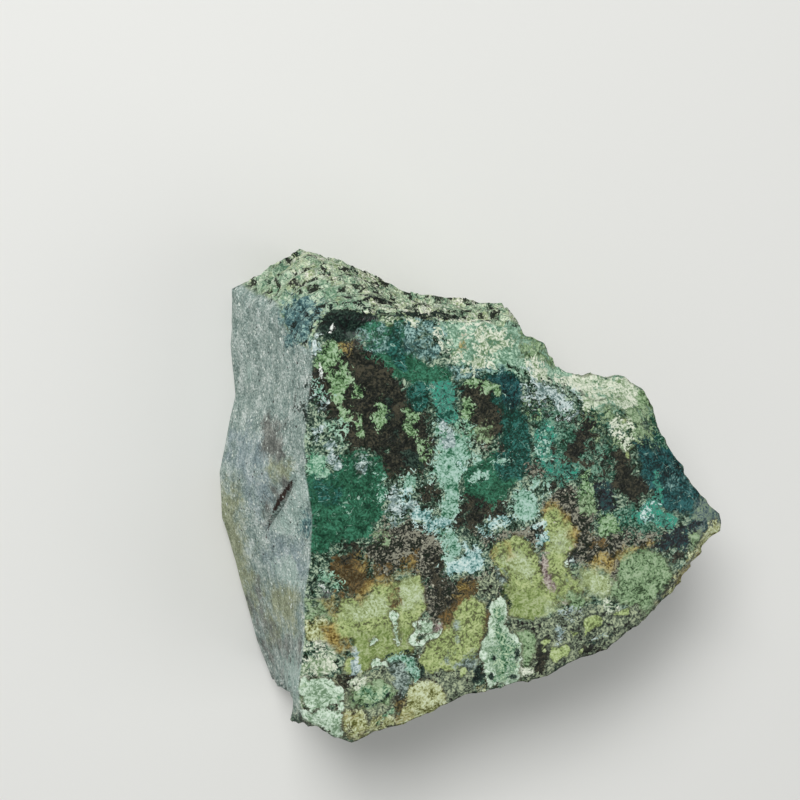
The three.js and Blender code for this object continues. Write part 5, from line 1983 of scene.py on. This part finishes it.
class JasperFinish:
    """The stone's one material: minerals laid over each other, then the walls' own surfaces."""

    def __init__(self, look: JasperLook = JasperLook()) -> None:
        """Starts an empty material and lays out the noise that it shares.

        Args:
            look: its numbers.
        """
        self.look = look
        self.material = bpy.data.materials.new("jasper")
        self.material.use_nodes = True
        self.material.node_tree.nodes.clear()
        self.desk = Desk(self.material.node_tree)
        self.signed = signed_noise_group()
        self.tone = tone_group()
        self.over = mineral_group(self.tone)
        coordinates = self.desk.node("ShaderNodeTexCoord").outputs["Object"]
        self.place = self.scaled(coordinates, 1 / MM)
        self.drift, self.fray, self.fibre, self.dust, self.thread = (
            self.channels(self.place, noise) for noise in (DRIFT, FRAY, FIBRE, DUST, THREAD)
        )
        edges = [self.blend(look.edge, *pair) for pair in zip(self.fray, self.fibre)]
        fray, fibre, dust, drift = self.fray, self.fibre, self.dust, self.drift
        grains = [
            self.blend(look.mottle, fray[n - 1], fibre[n], dust[n - 2], drift[n]) for n in range(3)
        ]
        self.edge, self.mottle = (
            self.calmed(values, *strength)
            for values, strength in ((edges, look.edge_calm), (grains, look.mottle_calm))
        )
        run = self.channels(self.scaled(self.place, *look.side_stretch), SIDE_GRAIN)
        self.side_grain = self.blend(look.side_grain, run[0], self.dust[1])
        self.leaves(self.desk.attribute("climb"))

    def blend(self, weights: Row, *sockets: Socket, clamp: bool = False) -> Socket:
        """A sum of sockets, each times its weight.

        Args:
            weights: one for each socket. One more than that is what the sum starts from.
            sockets: what is summed.
            clamp: whether the result is held between 0 and 1.

        Returns:
            The sum.
        """
        start = sum(weights[len(sockets) :])
        return self.desk.weigh(*zip(sockets, weights), start=start, clamp=clamp)

    def calmed(self, values: list[Socket], strength: float, change: float) -> list[Socket]:
        """Values at their strength, which changes inside the calm masses."""
        factor = self.desk.weigh((self.desk.attribute("calm"), change), start=strength)
        return [self.desk.math("MULTIPLY", value, factor) for value in values]

    def scaled(self, vector: Socket, *factors: float) -> Socket:
        """A place stretched.

        Args:
            vector: the place.
            factors: one factor, or one for each direction.

        Returns:
            The stretched place.
        """
        made = self.desk.node("ShaderNodeVectorMath", operation="MULTIPLY")
        self.desk.feed(made.inputs[0], vector)
        made.inputs[1].default_value = factors * (3 // len(factors))
        return made.outputs[0]

    def channels(self, place: Socket, noise: Noise) -> list[Socket]:
        """Three channels of one kind of signed noise."""
        return list(
            self.desk.group(
                self.signed, Place=place, Size=noise.size, Detail=noise.detail,
                Roughness=noise.roughness, Distortion=noise.twist, Gain=noise.gain,
            ).outputs
        )

    def toned(self, finish: MineralFinish, grain: Socket) -> Socket:
        """A finish's colour, moved between its tones by a grain."""
        return self.desk.group(
            self.tone, Dark=srgb(finish.dark), Tone=srgb(finish.tone), Light=srgb(finish.light),
            Grain=grain, Contrast=finish.contrast,
        ).outputs[0]

    def lay(
        self, under: Socket, mineral: Mineral, share: object, grain: Socket | None = None
    ) -> Socket:
        """Lays one mineral over what is under it.

        Args:
            under: the colour so far.
            mineral: the mineral, whose depth is an attribute of the mesh.
            share: where it may show, from 0 to 1.
            grain: what moves its tone; the mottle if nothing is given.

        Returns:
            The new colour.
        """
        finish, n = mineral.value, list(Mineral).index(mineral)
        grain = grain or self.mottle[(n + 1) % 3]
        depth = self.desk.attribute(mineral.key)
        edge = {
            "Drift": self.drift[n % 3], "Fray": self.edge[(n // 3 + n) % 3],
            "Drift_Reach": finish.drift, "Fray_Reach": finish.fray,
        }
        if finish.rim:
            wider, rim = self.desk.math("ADD", depth, finish.rim_width), srgb(finish.rim)
            under = self.desk.group(
                self.over, Under=under, Depth=wider, Share=self.look.rim_share,
                Softness=self.look.rim_softness, Dark=rim, Tone=rim, Light=rim, **edge,
            ).outputs[0]
        return self.desk.group(
            self.over, Under=under, Depth=depth, Share=share, Grain=grain,
            Softness=finish.softness, Contrast=finish.contrast,
            Dark=srgb(finish.dark), Tone=srgb(finish.tone), Light=srgb(finish.light), **edge,
        ).outputs[0]

    def dress(self) -> bpy.types.Material:
        """Builds the whole material.

        Returns:
            The material, with colour, roughness and fine relief.
        """
        desk = self.desk
        shares = {name: desk.attribute(name) for name in SKIN_SHARES}
        rind, sawn = shares["rind"], shares["sawn"]
        walls = desk.math("ADD", rind, sawn, clamp=True)
        colour = self.face_colour()
        colour = desk.mix(sawn, colour, self.side_colour())
        colour = desk.mix(rind, colour, self.rind_colour())
        colour = self.weathered(colour, shares["broken"])
        colour = desk.mix(shares["back"], colour, self.toned(BACK_GROUND, self.mottle[0]))
        for mineral in Mineral:
            if mineral.key.startswith("side"):
                colour = self.lay(colour, mineral, sawn, self.side_grain)
            elif mineral.key.startswith("rind"):
                share = rind if mineral is Mineral.RIND_GREEN else walls
                colour = self.lay(colour, mineral, share)
        # The charcoal marks are partly painted shade in recesses and along the rim.
        # The white marks are painted glints.
        for mineral in (Mineral.CHARCOAL_AND_SHADE, Mineral.WHITE):
            colour = self.lay(colour, mineral, 1.0)
        # Painted highlights: white glints on the sawn side, with black grains.
        colour = self.grains(colour, {SIDE_GLINT: sawn, SIDE_BLACK: sawn})
        # Painted shade: the bottom of the open crack and the gaps and slits between the rind's
        # scales are darkened.
        gaps = desk.math("MULTIPLY", self.leaf_gap_shade, rind)
        colour = desk.mix(desk.math("MAXIMUM", shares["gap"], gaps), colour, srgb(GAP_SHADE_COLOUR))
        self.finish_shader(colour, shares, walls)
        return self.material

    def face_colour(self) -> Socket:
        """Every mineral of the broad face, in its order, over a green ground.

        Returns:
            The face's colour.
        """
        colour = self.toned(FACE_GROUND, self.mottle[2])
        for mineral in list(Mineral)[: list(Mineral).index(Mineral.SIDE_OLIVE)]:
            colour = self.lay(colour, mineral, 1.0)
            if mineral is Mineral.LIGHT_TEAL:
                colour = self.threads(colour)
            if mineral is Mineral.BLUE_BLACK:
                colour = self.specks(colour)
        return colour

    def threads(self, under: Socket) -> Socket:
        """Thin broken threads of a pale mineral, where a noise passes through zero.

        Args:
            under: the colour so far.

        Returns:
            The new colour.
        """
        desk, away = self.desk, self.desk.math("ABSOLUTE", self.thread[0])
        line = desk.math("MULTIPLY_ADD", away, self.look.thread_line, 1.0, clamp=True)
        broken = self.blend(self.look.thread_gaps, self.fray[1], self.drift[1], clamp=True)
        return desk.mix(desk.math("MULTIPLY", line, broken), under, srgb(THREAD_COLOUR))

    def specks(self, under: Socket) -> Socket:
        """Pale and black grains over the speckled band, and a few white glints everywhere.

        Args:
            under: the colour so far.

        Returns:
            The new colour.
        """
        band = self.desk.attribute(Mineral.SPECKLED.key)
        banded = self.desk.math("MULTIPLY_ADD", band, *self.look.band, clamp=True)
        return self.grains(under, {BAND_PALE: banded, BAND_BLACK: banded, FACE_GLINT: 1.0})

    def grains(self, under: Socket, kinds: dict[Grain, object]) -> Socket:
        """Lays scattered grains, and the painted glints among them, over what is under them.

        Args:
            under: the colour so far.
            kinds: each kind of grain, and the share that says where it shows.

        Returns:
            The new colour.
        """
        desk, colour = self.desk, under
        for grain, share in kinds.items():
            cell = desk.node("ShaderNodeTexVoronoi", feature="F1")
            desk.feed(cell.inputs["Vector"], self.place)
            cell.inputs["Scale"].default_value = 1 / grain.size
            split = desk.node("ShaderNodeSeparateColor")
            desk.feed(split.inputs[0], cell.outputs["Color"])
            ruler = split.outputs[grain.channel]
            size_share = desk.math("MULTIPLY_ADD", ruler, grain.spread, -grain.level)
            near = desk.math("SUBTRACT", size_share, cell.outputs["Distance"])
            frayed = desk.math("MULTIPLY_ADD", self.dust[grain.channel], grain.waver, near)
            dot = desk.math("MULTIPLY", frayed, grain.hardness, clamp=True)
            colour = desk.mix(desk.math("MULTIPLY", dot, share), colour, srgb(grain.colour))
        return colour

    def side_colour(self) -> Socket:
        """The sawn side: grey-green grain of every size."""
        return self.toned(SIDE_GROUND, self.side_grain)

    def leaves(self, climb: Socket) -> None:
        """Divides the rind into leaves and scales, and keeps the painted shade in each gap and
        slit, and the tone of each scale.

        Args:
            climb: how many leaves lie above each point.
        """
        desk, look = self.desk, self.look
        climb = self.blend((1.0, *look.leaf_waver), climb, self.fray[1], self.fibre[0])
        leaf = desk.math("FLOOR", climb)
        across = desk.math("SUBTRACT", climb, leaf)
        own = desk.node("ShaderNodeCombineXYZ")
        for socket, factor in zip(own.inputs, look.leaf_moves):
            desk.feed(socket, desk.math("MULTIPLY", leaf, factor))
        moved = desk.node("ShaderNodeVectorMath", operation="ADD")
        desk.feed(moved.inputs[0], self.place)
        desk.feed(moved.inputs[1], own.outputs[0])
        tone, shut, cut = self.channels(moved.outputs[0], SCALE)
        away = desk.math("ABSOLUTE", desk.math("SUBTRACT", across, look.leaf_line[0]))
        line = self.blend(look.leaf_line[1:], away, shut, clamp=True)
        slit = desk.math("MULTIPLY_ADD", desk.math("ABSOLUTE", cut), *look.leaf_slit, clamp=True)
        self.leaf_gap_shade = desk.math("MULTIPLY", desk.math("MAXIMUM", line, slit), look.leaf_shade_strength)
        self.leaf_tone_and_light = self.blend(look.leaf_tone_and_light, tone, cut, across, self.drift[1], clamp=True)

    def rind_colour(self) -> Socket:
        """The rind: each scale between green and cream by its own tone, and by painted light that
        makes it lighter away from its gap.
        """
        low, high = self.toned(RIND_LOW, self.mottle[0]), self.toned(RIND_PALE_AND_LIT, self.mottle[1])
        return self.desk.mix(self.leaf_tone_and_light, low, high)

    def weathered(self, under: Socket, broken: Socket) -> Socket:
        """Lays a patchy olive crust over the broken walls, which thickens towards the foot.

        Args:
            under: the colour so far.
            broken: the share of broken wall.

        Returns:
            The new colour.
        """
        desk = self.desk
        split = desk.node("ShaderNodeSeparateXYZ")
        desk.feed(split.inputs[0], self.place)
        height = split.outputs[2]
        bloom = self.blend(self.look.bloom, self.drift[0], self.fray[1], height, clamp=True)
        share = desk.math("MULTIPLY", bloom, broken)
        return desk.mix(share, under, self.toned(WEATHERED, self.mottle[1]))

    def finish_shader(self, colour: Socket, shares: dict[str, Socket], walls: Socket) -> None:
        """Wires colour, roughness and fine relief into the shader.

        Args:
            colour: the finished colour.
            shares: the share of each kind of surface.
            walls: the share of rind and saw cut together.
        """
        desk, look = self.desk, self.look
        kinds = (walls, shares["broken"], shares["back"])
        shader = desk.node("ShaderNodeBsdfPrincipled")
        shader.inputs["Specular IOR Level"].default_value = look.specular
        desk.feed(shader.inputs["Base Color"], colour)
        fine = zip((self.fray[0], self.dust[0]), look.fine_roughness)
        rough = desk.weigh(*zip(kinds, look.roughness), *fine, start=look.roughness[3], clamp=True)
        desk.feed(shader.inputs["Roughness"], rough)
        rugged = self.blend(look.ruggedness, *kinds)
        height = self.blend(look.relief, self.fibre[0], self.dust[2], self.fray[1])
        bump = desk.node("ShaderNodeBump")
        bump.inputs["Strength"].default_value = look.relief_strength
        bump.inputs["Distance"].default_value = look.relief_height
        desk.feed(bump.inputs["Height"], desk.math("MULTIPLY", height, rugged))
        desk.feed(shader.inputs["Normal"], bump.outputs[0])
        output = desk.node("ShaderNodeOutputMaterial")
        desk.feed(output.inputs["Surface"], shader.outputs[0])


# ---- The studio ----


@dataclass(frozen=True)
class Lamp:
    """A square soft light.

    Attributes:
        name: its name.
        at: where it stands, in metres.
        size: the length of its side.
        power: its power in watts.
    """

    name: str
    at: Triple
    size: float
    power: float


@dataclass(frozen=True)
class Studio:
    """The camera, a pale floor and soft lights.

    Attributes:
        eye, aim: where the camera stands and what it looks at, in millimetres.
        lens, sensor: its focal length and the width of its sensor, in millimetres.
        near: how near to it something still shows, in metres.
        floor_reach, floor_drop: half the floor's width and how far down it lies, in metres.
        floor_colour, sky_colour: the floor's and the surroundings' colours.
        floor_roughness: the floor's roughness.
        sky_strength: how bright the surroundings are.
        lit: the place that the lights are aimed at, in metres.
        lamps: the lights.
    """

    eye: Triple = (-87.64, 46.62, 323.59)
    aim: Triple = (-15.44, 16.18, 34.0)
    lens: float = 84.375
    sensor: float = 36.0
    near: float = 0.01
    floor_reach: float = 2.0
    floor_drop: float = 0.0001
    floor_colour: str = "e6e6e2"
    floor_roughness: float = 0.9
    sky_colour: str = "f4f6f8"
    sky_strength: float = 0.3
    lit: Triple = (0.0, 0.0, 0.02)
    lamps: tuple[Lamp, ...] = (
        Lamp("key", (-0.3, 0.4, 0.7), 0.35, 5.4),
        Lamp("fill", (0.55, -0.25, 0.6), 0.6, 1.4),
    )

    def build(self) -> None:
        """Sets up everything round the stone."""
        self.camera()
        self.floor()
        for lamp in self.lamps:
            self.light(lamp)
        world = bpy.data.worlds.new("surroundings")
        world.use_nodes = True
        background = world.node_tree.nodes["Background"]
        background.inputs["Color"].default_value = srgb(self.sky_colour)
        background.inputs["Strength"].default_value = self.sky_strength
        bpy.context.scene.world = world
        bpy.context.scene.view_settings.view_transform = "Standard"
        log.info("studio: %d lights", len(self.lamps))

    def turned(self, eye: Vector, aim: Vector) -> Matrix:
        """The pose of something that looks at a place, and keeps y upright.

        Args:
            eye: where it stands.
            aim: what it looks at.

        Returns:
            Its matrix.
        """
        back = (eye - aim).normalized()
        right = Vector((0, 1, 0)).cross(back).normalized()
        pose = Matrix((right, back.cross(right), back)).transposed().to_4x4()
        return Matrix.Translation(eye) @ pose

    def camera(self) -> None:
        """The camera, above and to the left of the stone, looking down on it."""
        data = bpy.data.cameras.new("camera")
        data.lens, data.sensor_width, data.clip_start = self.lens, self.sensor, self.near
        camera = bpy.data.objects.new("camera", data)
        camera.matrix_world = self.turned(Vector(self.eye) * MM, Vector(self.aim) * MM)
        bpy.context.scene.collection.objects.link(camera)
        bpy.context.scene.camera = camera

    def floor(self) -> None:
        """A plain pale square under the stone."""
        reach, z = self.floor_reach, -self.floor_drop
        x, y = np.meshgrid([-reach, reach], [-reach, reach])
        points = np.stack([x.ravel(), y.ravel(), np.full(4, z)], -1)
        mesh = bpy.data.meshes.new("floor")
        mesh.from_pydata(points.tolist(), [], [(0, 1, 3, 2)])
        material = bpy.data.materials.new("floor")
        material.use_nodes = True
        shader = material.node_tree.nodes["Principled BSDF"]
        shader.inputs["Base Color"].default_value = srgb(self.floor_colour)
        shader.inputs["Roughness"].default_value = self.floor_roughness
        mesh.materials.append(material)
        floor = bpy.data.objects.new("floor", mesh)
        bpy.context.scene.collection.objects.link(floor)

    def light(self, lamp: Lamp) -> None:
        """Adds one square lamp, aimed at the stone.

        Args:
            lamp: its size, power and place.
        """
        data = bpy.data.lights.new(lamp.name, "AREA")
        data.size, data.energy = lamp.size, lamp.power
        light = bpy.data.objects.new(lamp.name, data)
        light.matrix_world = self.turned(Vector(lamp.at), Vector(self.lit))
        bpy.context.scene.collection.objects.link(light)


def main() -> None:
    """Builds the stone on its frame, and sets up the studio."""
    logging.basicConfig(level=logging.INFO, format="%(name)s: %(message)s")
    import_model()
    form = StoneForm()
    stone = JasperSkin(form, MineralMap(form)).build()
    stone.data.materials.append(JasperFinish().dress())
    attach(stone, "root")
    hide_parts("jasper_stone")
    log.info("%s: %d faces", stone.name, len(stone.data.polygons))
    Studio().build()


if __name__ == "__main__":
    main()
